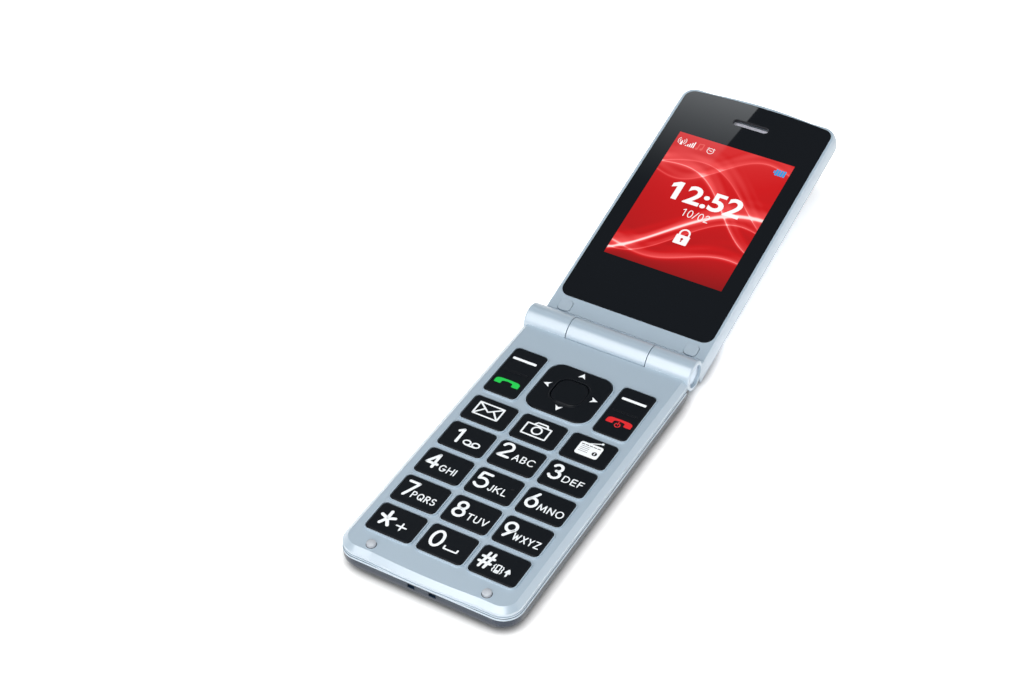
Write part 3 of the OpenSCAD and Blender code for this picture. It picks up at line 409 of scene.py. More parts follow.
def boxRow(first, step, count, r, steps):
    # rounded boxes (left, right, low, high), each edge a step on from the one before
    return [roundBox(*(edge + move * i for edge, move in zip(first, step)), r, steps) for i in range(count)]


# a printed line: a tube along each stroke with a ball at each point, pressed nearly flat
strokePlan = {"tubeSides": 10, "ballSegments": 12, "ballRings": 4, "sharpTurn": math.radians(35)}


def strokeTree():
    tree = bpy.data.node_groups.new("printedLine", "GeometryNodeTree")
    for label, kind, way in (("Geometry", "Geometry", "INPUT"), ("Width", "Float", "INPUT"),
                             ("Height", "Float", "INPUT"), ("Ink", "Material", "INPUT"),
                             ("Geometry", "Geometry", "OUTPUT")):
        tree.interface.new_socket(label, in_out=way, socket_type="NodeSocket" + kind)
    add, link = tree.nodes.new, tree.links.new
    given, out = add("NodeGroupInput"), add("NodeGroupOutput")
    half = add("ShaderNodeMath")
    half.operation = "MULTIPLY"
    half.inputs[1].default_value = 0.5
    link(given.outputs["Width"], half.inputs[0])
    ring = add("GeometryNodeCurvePrimitiveCircle")
    ring.inputs["Resolution"].default_value = strokePlan["tubeSides"]
    link(half.outputs[0], ring.inputs["Radius"])
    line, tube = add("GeometryNodeMeshToCurve"), add("GeometryNodeCurveToMesh")
    link(given.outputs["Geometry"], line.inputs[0])
    link(line.outputs[0], tube.inputs["Curve"])
    link(ring.outputs[0], tube.inputs["Profile Curve"])
    tube.inputs["Fill Caps"].default_value = True
    ball, balls = add("GeometryNodeMeshUVSphere"), add("GeometryNodeInstanceOnPoints")
    ball.inputs["Segments"].default_value = strokePlan["ballSegments"]
    ball.inputs["Rings"].default_value = strokePlan["ballRings"]
    link(half.outputs[0], ball.inputs["Radius"])
    link(given.outputs["Geometry"], balls.inputs["Points"])
    link(ball.outputs[0], balls.inputs["Instance"])
    both, real, paint = (add("GeometryNode" + n) for n in ("JoinGeometry", "RealizeInstances", "SetMaterial"))
    link(tube.outputs[0], both.inputs[0])
    link(balls.outputs[0], both.inputs[0])
    flat, ratio, sizes = add("GeometryNodeTransform"), add("ShaderNodeMath"), add("ShaderNodeCombineXYZ")
    ratio.operation = "DIVIDE"
    link(given.outputs["Height"], ratio.inputs[0])
    link(given.outputs["Width"], ratio.inputs[1])
    sizes.inputs[0].default_value = sizes.inputs[1].default_value = 1
    link(ratio.outputs[0], sizes.inputs[2])
    link(both.outputs[0], real.inputs[0])
    link(real.outputs[0], flat.inputs["Geometry"])
    link(sizes.outputs[0], flat.inputs["Scale"])
    link(flat.outputs[0], paint.inputs[0])
    link(given.outputs["Ink"], paint.inputs["Material"])
    link(paint.outputs[0], out.inputs[0])
    return tree


def throughTree(name, mesh, tree, values):
    # runs a mesh through a node tree and returns the plain result
    piece = bpy.data.objects.new(name, mesh)
    scene.collection.objects.link(piece)
    step = piece.modifiers.new("made", "NODES")
    step.node_group = tree
    for socket in tree.interface.items_tree:
        if socket.in_out == "INPUT" and socket.name in values:
            step[socket.identifier] = values[socket.name]
    result = bpy.data.meshes.new_from_object(piece.evaluated_get(bpy.context.evaluated_depsgraph_get()))
    bpy.data.objects.remove(piece)
    return result


printedLine = strokeTree()

# centre lines of the legends, each in a box of its own that is stretched to its place
glyphs = {
    "0": [arc(.5, .5, .5, .5, 0, 360, 22)],
    "1": [[(0, .82), (.9, 1), (.9, 0)]],
    "2": [arc(.48, .7, .48, .3, 165, -28) + [(0, 0), (1, 0)]],
    "3": [arc(.47, .76, .4, .24, 160, -90), arc(.47, .27, .5, .27, 90, -155)],
    "4": [[(.72, 0), (.72, 1), (0, .27), (1, .27)]],
    "5": [[(.92, 1), (.16, 1), (.1, .56)] + arc(.46, .32, .5, .32, 128, -150)],
    "6": [arc(.5, .31, .5, .31, 0, 360), [(.72, 1), (.06, .42)]],
    "7": [[(0, 1), (1, 1), (.22, 0)]],
    "8": [arc(.5, .765, .4, .235, 0, 360), arc(.5, .265, .5, .265, 0, 360)],
    "9": [arc(.5, .69, .5, .31, 0, 360), [(.94, .58), (.28, 0)]],
    "A": [[(0, 0), (.5, 1), (1, 0)], [(.2, .36), (.8, .36)]],
    "B": [[(0, 0), (0, 1)] + arc(.5, .76, .4, .24, 90, -90, 8) + [(0, .52)],
          [(0, .52)] + arc(.5, .26, .5, .26, 90, -90, 8) + [(0, 0)]],
    "C": [arc(.52, .5, .52, .5, 48, 312)],
    "D": [[(0, 0), (0, 1)] + arc(.4, .5, .6, .5, 90, -90) + [(0, 0)]],
    "E": [[(1, 1), (0, 1), (0, 0), (1, 0)], [(0, .52), (.9, .52)]],
    "F": [[(1, 1), (0, 1), (0, 0)], [(0, .52), (.9, .52)]],
    "G": [arc(.52, .5, .52, .5, 48, 350) + [(.6, .42)]],
    "H": [[(0, 0), (0, 1)], [(1, 0), (1, 1)], [(0, .52), (1, .52)]],
    "I": [[(0, 0), (0, 1)]],
    "J": [[(1, 1), (1, .28)] + arc(.5, .28, .5, .28, 0, -165, 8)],
    "K": [[(0, 0), (0, 1)], [(.95, 1), (0, .4)], [(.32, .6), (1, 0)]],
    "L": [[(0, 1), (0, 0), (1, 0)]],
    "M": [[(0, 0), (.12, 1), (.5, .12), (.88, 1), (1, 0)]],
    "N": [[(0, 0), (0, 1), (1, 0), (1, 1)]],
    "O": [arc(.5, .5, .5, .5, 0, 360, 20)],
    "P": [[(0, 0), (0, 1)] + arc(.5, .74, .5, .26, 90, -90, 8) + [(0, .48)]],
    "Q": [arc(.5, .5, .5, .5, 0, 360, 20), [(.6, .28), (1, -.04)]],
    "R": [[(0, 0), (0, 1)] + arc(.5, .74, .45, .26, 90, -90, 8) + [(0, .48)], [(.45, .48), (1, 0)]],
    "S": [arc(.52, .75, .44, .25, 35, 262, 9) + arc(.48, .26, .5, .26, 82, -145, 9)],
    "T": [[(0, 1), (1, 1)], [(.5, 1), (.5, 0)]],
    "U": [[(0, 1), (0, .36)] + arc(.5, .36, .5, .36, 180, 360, 10) + [(1, 1)]],
    "V": [[(0, 1), (.5, 0), (1, 1)]],
    "W": [[(0, 1), (.27, 0), (.5, .85), (.73, 0), (1, 1)]],
    "X": [[(0, 0), (1, 1)], [(0, 1), (1, 0)]],
    "Y": [[(0, 1), (.5, .46), (1, 1)], [(.5, .46), (.5, 0)]],
    "Z": [[(0, 1), (1, 1), (0, 0), (1, 0)]],
    "star": [[(.5, .48), (.5 + .5 * math.sin(math.radians(a)), .48 + .52 * math.cos(math.radians(a)))]
             for a in range(0, 360, 72)],
    "plus": [[(0, .5), (1, .5)], [(.5, 0), (.5, 1)]],
    "hash": [[(.22, 0), (.42, 1)], [(.64, 0), (.84, 1)], [(.06, .68), (1, .68)], [(0, .32), (.94, .32)]],
    "space": [[(0, 1), (0, 0), (1, 0), (1, 1)]],
    "slash": [[(0, 0), (1, 1)]],
    "tape": [arc(.22, .55, .22, .45, 0, 360), arc(.78, .55, .22, .45, 0, 360), [(.2, .05), (.8, .05)]],
    "envelope": [[(0, 0), (1, 0), (1, 1), (0, 1), (0, 0)], [(0, 1), (.5, .4), (1, 1)],
                 [(0, 0), (.32, .58)], [(1, 0), (.68, .58)]],
    "cameraBody": [[(0, 0), (1, 0), (1, .8), (0, .8), (0, 0)], [(.26, .8), (.36, 1), (.76, 1), (.84, .8)]],
    "ring": [circle(.5, .5, .5, 20)],
    "arrowUp": [[(.5, 0), (.5, .8)], [(.1, .5), (.5, 1), (.9, .5), (.5, .62), (.1, .5)]],
    "vibrate": [[(.3, 0), (.7, 0), (.7, 1), (.3, 1), (.3, 0)], [(.3, .14), (.7, .14)], [(.3, .28), (.7, .28)],
                [(.1, .05), (0, .28), (.1, .5), (0, .72), (.1, .95)],
                [(.9, .05), (1, .28), (.9, .5), (1, .72), (.9, .95)]],
}
# letters that aren't as wide as A
letterWidths = {"I": .01, "J": .55, "E": .72, "F": .66, "L": .7, "M": 1.35, "W": 1.45, "O": 1.2, "G": 1.15,
                "Q": 1.15, "C": 1.1, "N": .95, "U": .92, "V": 1.05, "T": .95, "S": .8, "P": .8, "R": .85,
                "B": .8}


def lines(strokes, box, width):
    # strokes stretched so that their printed outline fills the box (left, right, low, high)
    xs = [x for stroke in strokes for x, y in stroke]
    ys = [y for stroke in strokes for x, y in stroke]
    left, right, low, high = box
    inner = (left + width / 2, right - width / 2, low + width / 2, high - width / 2)
    sx = (inner[1] - inner[0]) / max(max(xs) - min(xs), 1e-6)  # one upright stroke has no width
    sy = (inner[3] - inner[2]) / max(max(ys) - min(ys), 1e-6)
    return [[(inner[0] + (x - min(xs)) * sx, inner[2] + (y - min(ys)) * sy) for x, y in stroke]
            for stroke in strokes]


def word(text, box, width, gap=0.26):
    # letters side by side, each as wide as its kind
    wide = [letterWidths.get(letter, 1.0) for letter in text]
    left, right, low, high = box
    unit = (right - left - width * len(text)) / (sum(wide) + gap * (len(text) - 1))
    strokes, x = [], left
    for letter, w in zip(text, wide):
        strokes += lines(glyphs[letter], (x, x + w * unit + width, low, high), width)
        x += (w + gap) * unit + width
    return strokes


def printedMesh(strokes, width, height, ink):
    # at a sharp turn a new tube starts, so that no stroke is pinched
    mesh = bpy.data.meshes.new("strokes")
    points, edges = [], []
    for stroke in strokes:
        for i, (x, y) in enumerate(stroke):
            if i:
                edges.append((len(points) - 1, len(points)))
            points.append((x * mm, y * mm, 0))
            if 0 < i < len(stroke) - 1:
                before = Vector((x, y)) - Vector(stroke[i - 1])
                after = Vector(stroke[i + 1]) - Vector((x, y))
                if before.angle(after, 0) > strokePlan["sharpTurn"]:
                    points.append((x * mm, y * mm, 0))
    mesh.from_pydata(points, edges, [])
    return throughTree("strokes", mesh, printedLine,
                       {"Width": width * mm, "Height": height * mm, "Ink": finishes[ink]})


# each mark: glyph or word, its box (left, right, low, high) in millimetres and its line width
legendPlan = {
    "key_message": [("envelope", (-19.0, -11.25, 6.6, 11.7), 0.52)],
    "key_camera": [("cameraBody", (-4.3, 3.15, 6.3, 11.9), 0.52), ("ring", (-2.1, 1.1, 7.2, 10.4), 0.52)],
    "key_1": [("1", (-18.35, -16.45, -5.0, 0.6), 0.86), ("tape", (-15.3, -10.2, -4.75, -2.6), 0.5)],
    "key_2": [("2", (-5.55, -1.8, -3.8, 1.8), 0.86), ("ABC", (-1.1, 5.1, -3.6, -1.1), 0.37)],
    "key_3": [("3", (9.35, 12.95, -4.55, 1.15), 0.86), ("DEF", (13.7, 19.6, -4.3, -1.9), 0.37)],
    "key_4": [("4", (-20.0, -16.1, -16.0, -10.4), 0.86), ("GHI", (-15.55, -10.7, -15.9, -13.5), 0.37)],
    "key_5": [("5", (-5.55, -1.55, -16.25, -10.4), 0.86), ("JKL", (-1.15, 4.2, -15.95, -13.5), 0.37)],
    "key_6": [("6", (9.15, 12.75, -16.1, -10.35), 0.86), ("MNO", (13.1, 20.35, -15.9, -13.4), 0.37)],
    "key_7": [("7", (-19.7, -16.1, -27.6, -21.9), 0.86), ("PQRS", (-16.7, -9.7, -27.35, -24.9), 0.37)],
    "key_8": [("8", (-5.1, -1.35, -27.5, -21.8), 0.86), ("TUV", (-0.7, 5.35, -27.25, -24.8), 0.37)],
    "key_9": [("9", (9.1, 12.8, -27.6, -22.0), 0.86), ("WXYZ", (12.6, 20.2, -27.5, -25.0), 0.37)],
    "key_star": [("star", (-19.75, -15.1, -38.7, -33.3), 0.95), ("plus", (-14.4, -11.2, -38.5, -35.7), 0.5)],
    "key_0": [("0", (-4.95, -1.15, -38.85, -33.0), 0.86), ("space", (-0.4, 3.75, -38.3, -36.9), 0.5)],
    "key_hash": [("hash", (9.0, 13.2, -39.1, -33.4), 0.82), ("vibrate", (13.45, 16.4, -38.95, -36.1), 0.33),
                 ("arrowUp", (16.8, 18.45, -38.9, -36.3), 0.5)],
}
inkHeight = 0.05
inkTop = inkHeight / 2
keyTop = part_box("key_5")[1].z
atKeyTop = Matrix.Translation((0, 0, keyTop))
for node, marks in legendPlan.items():
    parts = []
    for mark, box, width in marks:
        strokes = lines(glyphs[mark], box, width) if mark in glyphs else word(mark, box, width)
        parts.append(printedMesh(strokes, width, inkHeight, "white_ink"))
    keep(joined(node.replace("key", "legend"), parts, atKeyTop), node + "_body", "white_ink")

# pointer is its half width, half length and end radius, over is how far a mark lies over the one below
radioPlan = {
    "body": (11.45, 17.95, 6.6, 11.35, 0.7), "aerial": [(13.6, 11.2), (16.9, 12.6)], "aerialWidth": 0.32,
    "tip": 0.38, "dial": (16.6, 8.35, 0.72), "pointer": (0.13, 0.42, 0.1), "over": 0.02,
    "slots": {"first": (11.9, 12.85, 10.35, 10.6), "step": (1.12, 1.12, 0, 0), "count": 5, "r": 0.12,
              "steps": 3},
    "bars": {"first": (12.1, 14.7, 7.9, 8.02), "step": (0, 0, 0.62, 0.62), "count": 4, "r": 0.05, "steps": 2},
}
aerial = printedMesh([radioPlan["aerial"]], radioPlan["aerialWidth"], inkHeight, "white_ink")
tip = plates([disc(*radioPlan["aerial"][1], radioPlan["tip"])], -inkTop, inkTop)
casing = plates([roundBox(*radioPlan["body"])], -inkTop, inkTop)
keep(joined("legend_radio", [casing, aerial, tip], atKeyTop), "key_radio_body", "white_ink")
darkTop = inkTop + radioPlan["over"]
dark = boxRow(**radioPlan["slots"]) + boxRow(**radioPlan["bars"]) + [disc(*radioPlan["dial"], 20)]
keep(joined("radio_marks", [plates(dark, 0, darkTop)], atKeyTop), "key_radio_body", "key_black")
dialX, dialY = radioPlan["dial"][:2]
wide, long, end = radioPlan["pointer"]
pointer = plates([roundBox(dialX - wide, dialX + wide, dialY - long, dialY + long, end, 3)],
                 0, darkTop + radioPlan["over"])
keep(newPiece("radio_pointer", pointer, atKeyTop), "key_radio_body", "white_ink")


handsetPlan = {"cup": 2.05, "bridge": 0.8}


def handset(left, right, low, high):
    # a low bridge with a hanging cup at each end, drawn as its right half and the mirrored one
    middle, cup, inside = (left + right) / 2, handsetPlan["cup"], high - handsetPlan["bridge"]
    end = [*arc(right - 1.5, high - 0.95, 1.5, 0.9, 85, 5, 5), (right, low + 1.0), (right, low + 0.15),
           (right - 0.15, low), (right - cup + 0.2, low), (right - cup, low + 0.2),
           (right - cup, inside - 0.4), (right - cup - 0.35, inside - 0.12)]
    mirrored = [(2 * middle - x, y) for x, y in reversed(end)]
    return [(middle, high), *end, (middle, inside + 0.05), *mirrored]


# marks lie from low to high over a plane that is sunk under the rockers' highest point
markPlan = {"sunk": 0.12, "low": -0.02, "high": 0.03}
atRocker = Matrix.Translation((0, 0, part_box("left_rocker")[1].z - markPlan["sunk"] * mm))
rockerPlan = {
    "dash_left": ("left_rocker_body", "white_ink", roundBox(-20.1, -12.95, 30.2, 31.1, 0.25)),
    "dash_right": ("right_rocker_body", "white_ink", roundBox(12.95, 20.1, 30.1, 31.0, 0.25)),
    "call_mark": ("left_rocker_body", "green_ink", handset(-20.05, -12.75, 20.0, 22.2)),
    "end_mark": ("right_rocker_body", "red_ink", handset(13.1, 20.35, 20.8, 23.0)),
}
for name, (body, ink, outline) in rockerPlan.items():
    keep(joined(name, [plates([outline], markPlan["low"], markPlan["high"])], atRocker), body, ink)
powerPlan = {"place": (16.7, 20.7), "r": 0.72, "turn": (125, 415), "stem": (0.1, 1.2), "width": 0.36}
x, y = powerPlan["place"]
power = printedMesh([arc(x, y, powerPlan["r"], powerPlan["r"], *powerPlan["turn"]),
                     [(x, y + end) for end in powerPlan["stem"]]], powerPlan["width"], inkHeight, "red_ink")
keep(joined("power_mark", [power], atRocker), "right_rocker_body", "red_ink")

padPlan = {"middle": (0.0, 25.95), "reach": 8.05, "length": 1.95, "half": 1.05, "notch": 0.5}
padX, padY = padPlan["middle"]
half, back = padPlan["half"], padPlan["reach"] - padPlan["length"]
arrow = [(0, padPlan["reach"]), (-half, back), (0, back + padPlan["notch"]), (half, back)]
arrows = []
for turn in range(4):
    a = math.radians(90 * turn)
    arrows.append([(padX + x * math.cos(a) - y * math.sin(a), padY + x * math.sin(a) + y * math.cos(a))
                   for x, y in arrow])
keep(joined("pad_arrows", [plates(arrows, markPlan["low"], markPlan["high"])], atRocker), "dpad_body",
     "white_ink")

# small nub on the middle key
nubPlan = {"place": (4.9, -12.8), "length": 0.9, "width": 0.42, "height": 0.3}
x, y = nubPlan["place"]
nub = printedMesh([[(x - nubPlan["length"] / 2, y), (x + nubPlan["length"] / 2, y)]], nubPlan["width"],
                  nubPlan["height"], "key_black")
keep(joined("key_5_nub", [nub], atKeyTop), "key_5_body", "key_black")
print("legends made")


def lidPoints(finish):
    # the lid's own flat coordinates, in metres from the hinge axis
    back = Matrix.Rotation(-openAngle, 4, "X")
    where = finish.place(turn=(-openAngle, 0, 0), shift=-(back @ Vector(hinge["pos_m"])))
    return [finish.node("SeparateXYZ", inputs={0: where}, output=axis) for axis in "XY"]


screenPlan = {"half": 18.36, "low": 30.24, "high": 79.36, "corner": 0.1, "gloss": 0.03, "ior": 1.52,
              "sink": 0.02, "over": 0.012, "lineHeight": 0.03, "plate": (-0.01, 0.012)}
# a ribbon is (height, slope, swing, waves, phase, sharpness, brightness, veil); foot is where it
# darkens downwards and how fast; streaks are (fineness, slant) of the faint lines in each veil
picturePlan = {
    "ground": 0.26, "rise": 0.1, "foot": (0.7, 0.3), "sides": 0.03, "veilReach": 3.2,
    "streaks": [(46, 3), (19, -5)], "streakLight": 0.045,
    "ribbons": [(-0.34, 0.42, 0.16, 2.3, 0.7, 0.022, 0.75, 0.26),
                (-0.46, 0.3, 0.2, 2.6, 0.2, 0.008, 0.3, 0.1),
                (-0.74, 0.1, 0.09, 3.0, -0.6, 0.02, 0.3, 0.2),
                (0.16, -0.36, 0.2, 2.4, 2.3, 0.012, 0.3, 0.2),
                (0.34, -0.2, 0.26, 2.0, 1.9, 0.007, 0.2, 0.12),
                (0.62, 0.26, 0.15, 3.3, 0.1, 0.01, 0.18, 0.12)],
    "stops": [(0.0, (0.2, 0, 0)), (0.3, (0.62, 0.002, 0.003)), (0.62, (0.98, 0.1, 0.1)),
              (1.0, (1, 0.8, 0.78))],
}


def pictureFinish(plan):
    finish = Finish("picture", {"Base Color": (0.004, 0.004, 0.005, 1), "Roughness": screenPlan["gloss"],
                                "IOR": screenPlan["ior"], "Emission Strength": 1.0})
    x, y = lidPoints(finish)
    middle = (screenPlan["low"] + screenPlan["high"]) / 2
    across = x / (screenPlan["half"] * mm)
    up = (y - middle * mm) / ((screenPlan["high"] - middle) * mm)
    foot, darken = plan["foot"]
    light = plan["ground"] + up * plan["rise"] + (up + foot).do("MINIMUM", 0.0) * darken
    light = light - (across * across) * plan["sides"]
    for height, slope, swing, waves, phase, sharp, bright, veil in plan["ribbons"]:
        curve = height + across * slope + (across * waves + phase).do("SINE") * swing
        away = up - curve
        above = away > 0
        core = 1 / (1 + (away / sharp) ** 2)
        side = (1 - away.do("ABSOLUTE") * plan["veilReach"]).do("MAXIMUM", 0.0)
        first, second = ((away * fine + across * slant).do("SINE") for fine, slant in plan["streaks"])
        light = light + core * bright + side * side * above * veil
        light = light + (first + second) * side * above * plan["streakLight"]
    finish.vary("Emission Color", finish.node("ValToRGB", {"stops": plan["stops"]}, {0: light}))
    finishes["picture"] = finish.material


pictureFinish(picturePlan)
shinePlan = {"screen_white": ((1, 1, 1), 0.02), "screen_pink": ((0.84, 0.1, 0.09), 0.1),
             "screen_blue": ((0.03, 0.36, 0.78), 0.1), "screen_red": ((0.5, 0.01, 0.01), 0.1)}
for name, (colour, spread) in shinePlan.items():
    shine = Finish(name, {"Base Color": (*grey(0.01), 1), "Roughness": screenPlan["gloss"],
                          "IOR": screenPlan["ior"], "Emission Strength": 1.0})
    low, high = Vector(colour) * (1 - spread), Vector(colour)
    shine.vary("Emission Color", shine.mixColour(shine.grain(0.5 * mm), low, high))
    finishes[name] = shine.material

sheet = roundBox(-screenPlan["half"], screenPlan["half"], screenPlan["low"], screenPlan["high"],
                 screenPlan["corner"], 2)
sheet = plates([sheet], lidFace - screenPlan["sink"], lidFace + screenPlan["over"])
keep(newPiece("screen_picture", sheet, lidPlace), "lid", "picture")
onScreen = lidPlace @ Matrix.Translation((0, 0, (lidFace + screenPlan["over"]) * mm))


typePlan = {"extrude": 0.5, "curveSteps": 4, "pressed": 0.02}


def typed(text, box, weight):
    # text stretched to its box and pressed to a thin plate
    curve = bpy.data.curves.new("typed", "FONT")
    curve.body, curve.offset, curve.extrude = text, weight, typePlan["extrude"]
    curve.resolution_u = typePlan["curveSteps"]
    writing = bpy.data.objects.new("typed", curve)
    scene.collection.objects.link(writing)
    mesh = bpy.data.meshes.new_from_object(writing.evaluated_get(bpy.context.evaluated_depsgraph_get()))
    bpy.data.objects.remove(writing)
    xs, ys = [v.co.x for v in mesh.vertices], [v.co.y for v in mesh.vertices]
    left, right, low, high = box
    for v in mesh.vertices:
        v.co.x = (left + (v.co.x - min(xs)) / (max(xs) - min(xs)) * (right - left)) * mm
        v.co.y = (low + (v.co.y - min(ys)) / (max(ys) - min(ys)) * (high - low)) * mm
        v.co.z = v.co.z * typePlan["pressed"] * mm
    mesh.materials.clear()
    return mesh


def screenLine(strokes, width):
    return printedMesh(strokes, width, screenPlan["lineHeight"], "screen_white")


def screenPlate(outlines):
    return plates(outlines, *screenPlan["plate"])


# status icons, clock, date and lock, in millimetres on the lid lying flat; a mark of the date is a
# glyph with its left and right edge
towerPlan = {"place": (-16.15, 76.3), "waves": (0.72, 1.28), "tall": 1.1, "fan": 50, "width": 0.17,
             "foot": 74.8, "footHalf": 0.38, "top": 0.2, "topHalf": 0.12}
barPlan = {"first": (-14.72, -14.38, 74.8, 75.15), "step": (0.6, 0.6, 0, 0.5), "count": 5, "r": 0.06,
           "steps": 2}
alarmPlan = {"place": (-6.8, 75.65), "r": 1.0, "width": 0.19,
             "strokes": [[(-0.42, 0.3), (0, 0), (0.5, 0.12)], [(0.75, 1.12), (1.12, 0.8)],
                         [(-0.75, 1.12), (-1.12, 0.8)]]}
lockPlan = {"body": (-2.05, 2.1, 40.8, 44.15, 0.3), "arch": (0.02, 44.8, 1.42, 1.45),
            "legs": (-1.3, 1.42, 44.0), "width": 0.52, "hole": (0.05, 42.75, 0.42),
            "slot": [(-0.2, 41.7), (0.3, 41.7), (0.2, 42.7), (-0.1, 42.7)]}
clockPlan = {"text": "2:52", "box": (-6.1, 11.45, 55.1, 62.0), "weight": 0.024,
             "one": [(-8.1, 55.2), (-8.1, 61.9), (-9.45, 61.9), (-11.3, 60.75), (-11.3, 59.3), (-9.75, 60.05),
                     (-9.75, 55.2)]}
datePlan = {"low": 50.6, "high": 53.35, "width": 0.26,
            "marks": [("1", -4.3, -3.4), ("0", -2.55, -1.0), ("slash", -0.75, 0.5), ("0", 0.75, 2.3),
                      ("2", 2.75, 4.15)]}
x, y = towerPlan["place"]
fan = towerPlan["fan"]
waves = [arc(x, y, r, r * towerPlan["tall"], side - fan, side + fan, 6)
         for r in towerPlan["waves"] for side in (0, 180)]
tower = screenLine(waves, towerPlan["width"])
foot, wide, top, slim = towerPlan["foot"], towerPlan["footHalf"], y + towerPlan["top"], towerPlan["topHalf"]
mast = screenPlate([[(x - wide, foot), (x + wide, foot), (x + slim, top), (x - slim, top)]])
bars = screenPlate(boxRow(**barPlan))
x, y = alarmPlan["place"]
hands = [[(x + u, y + v) for u, v in stroke] for stroke in alarmPlan["strokes"]]
alarm = screenLine([circle(x, y, alarmPlan["r"], 20), *hands], alarmPlan["width"])
left, right, low = lockPlan["legs"]
shackle = screenLine([[(left, low), *arc(*lockPlan["arch"], 180, 0), (right, low)]], lockPlan["width"])
lock = screenPlate([roundBox(*lockPlan["body"])])
clock = typed(clockPlan["text"], clockPlan["box"], clockPlan["weight"])
clockOne = screenPlate([clockPlan["one"]])
low, high, width = datePlan["low"], datePlan["high"], datePlan["width"]
date = screenLine([stroke for mark, left, right in datePlan["marks"]
                   for stroke in lines(glyphs[mark], (left, right, low, high), width)], width)
marks = [tower, mast, bars, alarm, shackle, lock, clock, clockOne, date]
keep(joined("screen_marks", marks, onScreen), "lid", "screen_white")

tunePlan = {"stems": [(-10.75, 75.0), (-10.75, 77.0), (-9.35, 77.2), (-9.35, 75.2)], "width": 0.32,
            "heads": [(-11.05, 75.0, 0.42), (-9.65, 75.2, 0.42)]}
tune = screenLine([tunePlan["stems"]], tunePlan["width"])
heads = screenPlate([disc(*head) for head in tunePlan["heads"]])
keep(joined("screen_tune", [tune, heads], onScreen), "lid", "screen_pink")

chargePlan = {"cells": {"first": (14.05, 14.72, 74.3, 76.6), "step": (0.8, 0.8, 0, 0), "count": 4, "r": 0.12,
                        "steps": 2},
              "cap": (13.5, 13.92, 74.95, 75.95, 0.1, 2)}
charge = screenPlate([*boxRow(**chargePlan["cells"]), roundBox(*chargePlan["cap"])])
keep(newPiece("screen_charge", charge, onScreen), "lid", "screen_blue")
keyhole = plates([disc(*lockPlan["hole"]), lockPlan["slot"]], 0, screenPlan["lineHeight"])
keep(newPiece("screen_keyhole", keyhole, onScreen), "lid", "screen_red")
print("display drawn")


# a row of round rods, for wires and ribs
def rowTree():
    tree = bpy.data.node_groups.new("rodRow", "GeometryNodeTree")
    for label, kind, way in (("Geometry", "Geometry", "INPUT"), ("Count", "Int", "INPUT"),
                             ("Pitch", "Float", "INPUT"), ("Length", "Float", "INPUT"),
                             ("Radius", "Float", "INPUT"), ("Sides", "Int", "INPUT"),
                             ("Finish", "Material", "INPUT"), ("Geometry", "Geometry", "OUTPUT")):
        tree.interface.new_socket(label, in_out=way, socket_type="NodeSocket" + kind)
    add, link = tree.nodes.new, tree.links.new
    given, out = add("NodeGroupInput"), add("NodeGroupOutput")
    row, step = add("GeometryNodeMeshLine"), add("ShaderNodeCombineXYZ")
    rod, rods = add("GeometryNodeMeshCylinder"), add("GeometryNodeInstanceOnPoints")
    link(given.outputs["Pitch"], step.inputs["Y"])
    link(given.outputs["Count"], row.inputs["Count"])
    link(step.outputs[0], row.inputs["Offset"])
    for label, socket in (("Sides", "Vertices"), ("Radius", "Radius"), ("Length", "Depth")):
        link(given.outputs[label], rod.inputs[socket])
    rods.inputs["Rotation"].default_value = (0, math.pi / 2, 0)
    link(row.outputs[0], rods.inputs["Points"])
    link(rod.outputs[0], rods.inputs["Instance"])
    real, paint = add("GeometryNodeRealizeInstances"), add("GeometryNodeSetMaterial")
    link(rods.outputs[0], real.inputs[0])
    link(real.outputs[0], paint.inputs[0])
    link(given.outputs["Finish"], paint.inputs["Material"])
    link(paint.outputs[0], out.inputs[0])
    return tree


rodRow = rowTree()


def rodMesh(count, pitch, length, radius, sides, finish, place):
    # count rods along X, a pitch apart along Y and centred on the origin
    mesh = throughTree("rods", bpy.data.meshes.new("rods"), rodRow,
                       {"Count": count, "Pitch": pitch * mm, "Length": length * mm, "Radius": radius * mm,
                        "Sides": sides, "Finish": finishes[finish]})
    mesh.transform(place @ Matrix.Translation((0, -(count - 1) * pitch * mm / 2, 0)))
    return mesh


# bright wires woven over the earpiece slot, over a grille made black as painted shade of the deep slot
earPlan = {"w": 12.9, "h": 2.1, "y": 89.05, "pitch": 0.26, "wire": 0.085, "sides": 6, "top": lidFace - 1.75}
# painted shade: the grille's own colour is replaced by black so the slot reads dark behind the wires
for holder in nodes["earpiece_grille"].material_slots:
    holder.material = finishes["black_plastic"]
weave = []
for turn, length, span in ((0, earPlan["w"], earPlan["h"]), (90, earPlan["h"], earPlan["w"])):
    count = int(span / earPlan["pitch"])
    weave.append(rodMesh(count, earPlan["pitch"], length, earPlan["wire"], earPlan["sides"], "grille_mesh",
                         Matrix.Rotation(math.radians(turn), 4, "Z")))
middle = Matrix.Translation((0, earPlan["y"] * mm, earPlan["top"] * mm))
keep(joined("ear_mesh", weave, lidPlace @ middle), "lid", "grille_mesh")

# thumb grip on the battery cover
gripPlan = {"count": 7, "pitch": 1.5, "length": 15.0, "radius": 0.42, "sides": 12, "inward": 10.0}
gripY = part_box("battery_cover")[0].y + gripPlan["inward"] * mm
atGrip = Matrix.Translation((0, gripY, gripPlan["radius"] * mm))
grip = rodMesh(gripPlan["count"], gripPlan["pitch"], gripPlan["length"], gripPlan["radius"],
               gripPlan["sides"], "graphite_plastic", atGrip)
keep(joined("cover_grip", [grip]), "battery_cover_body", "graphite_plastic")


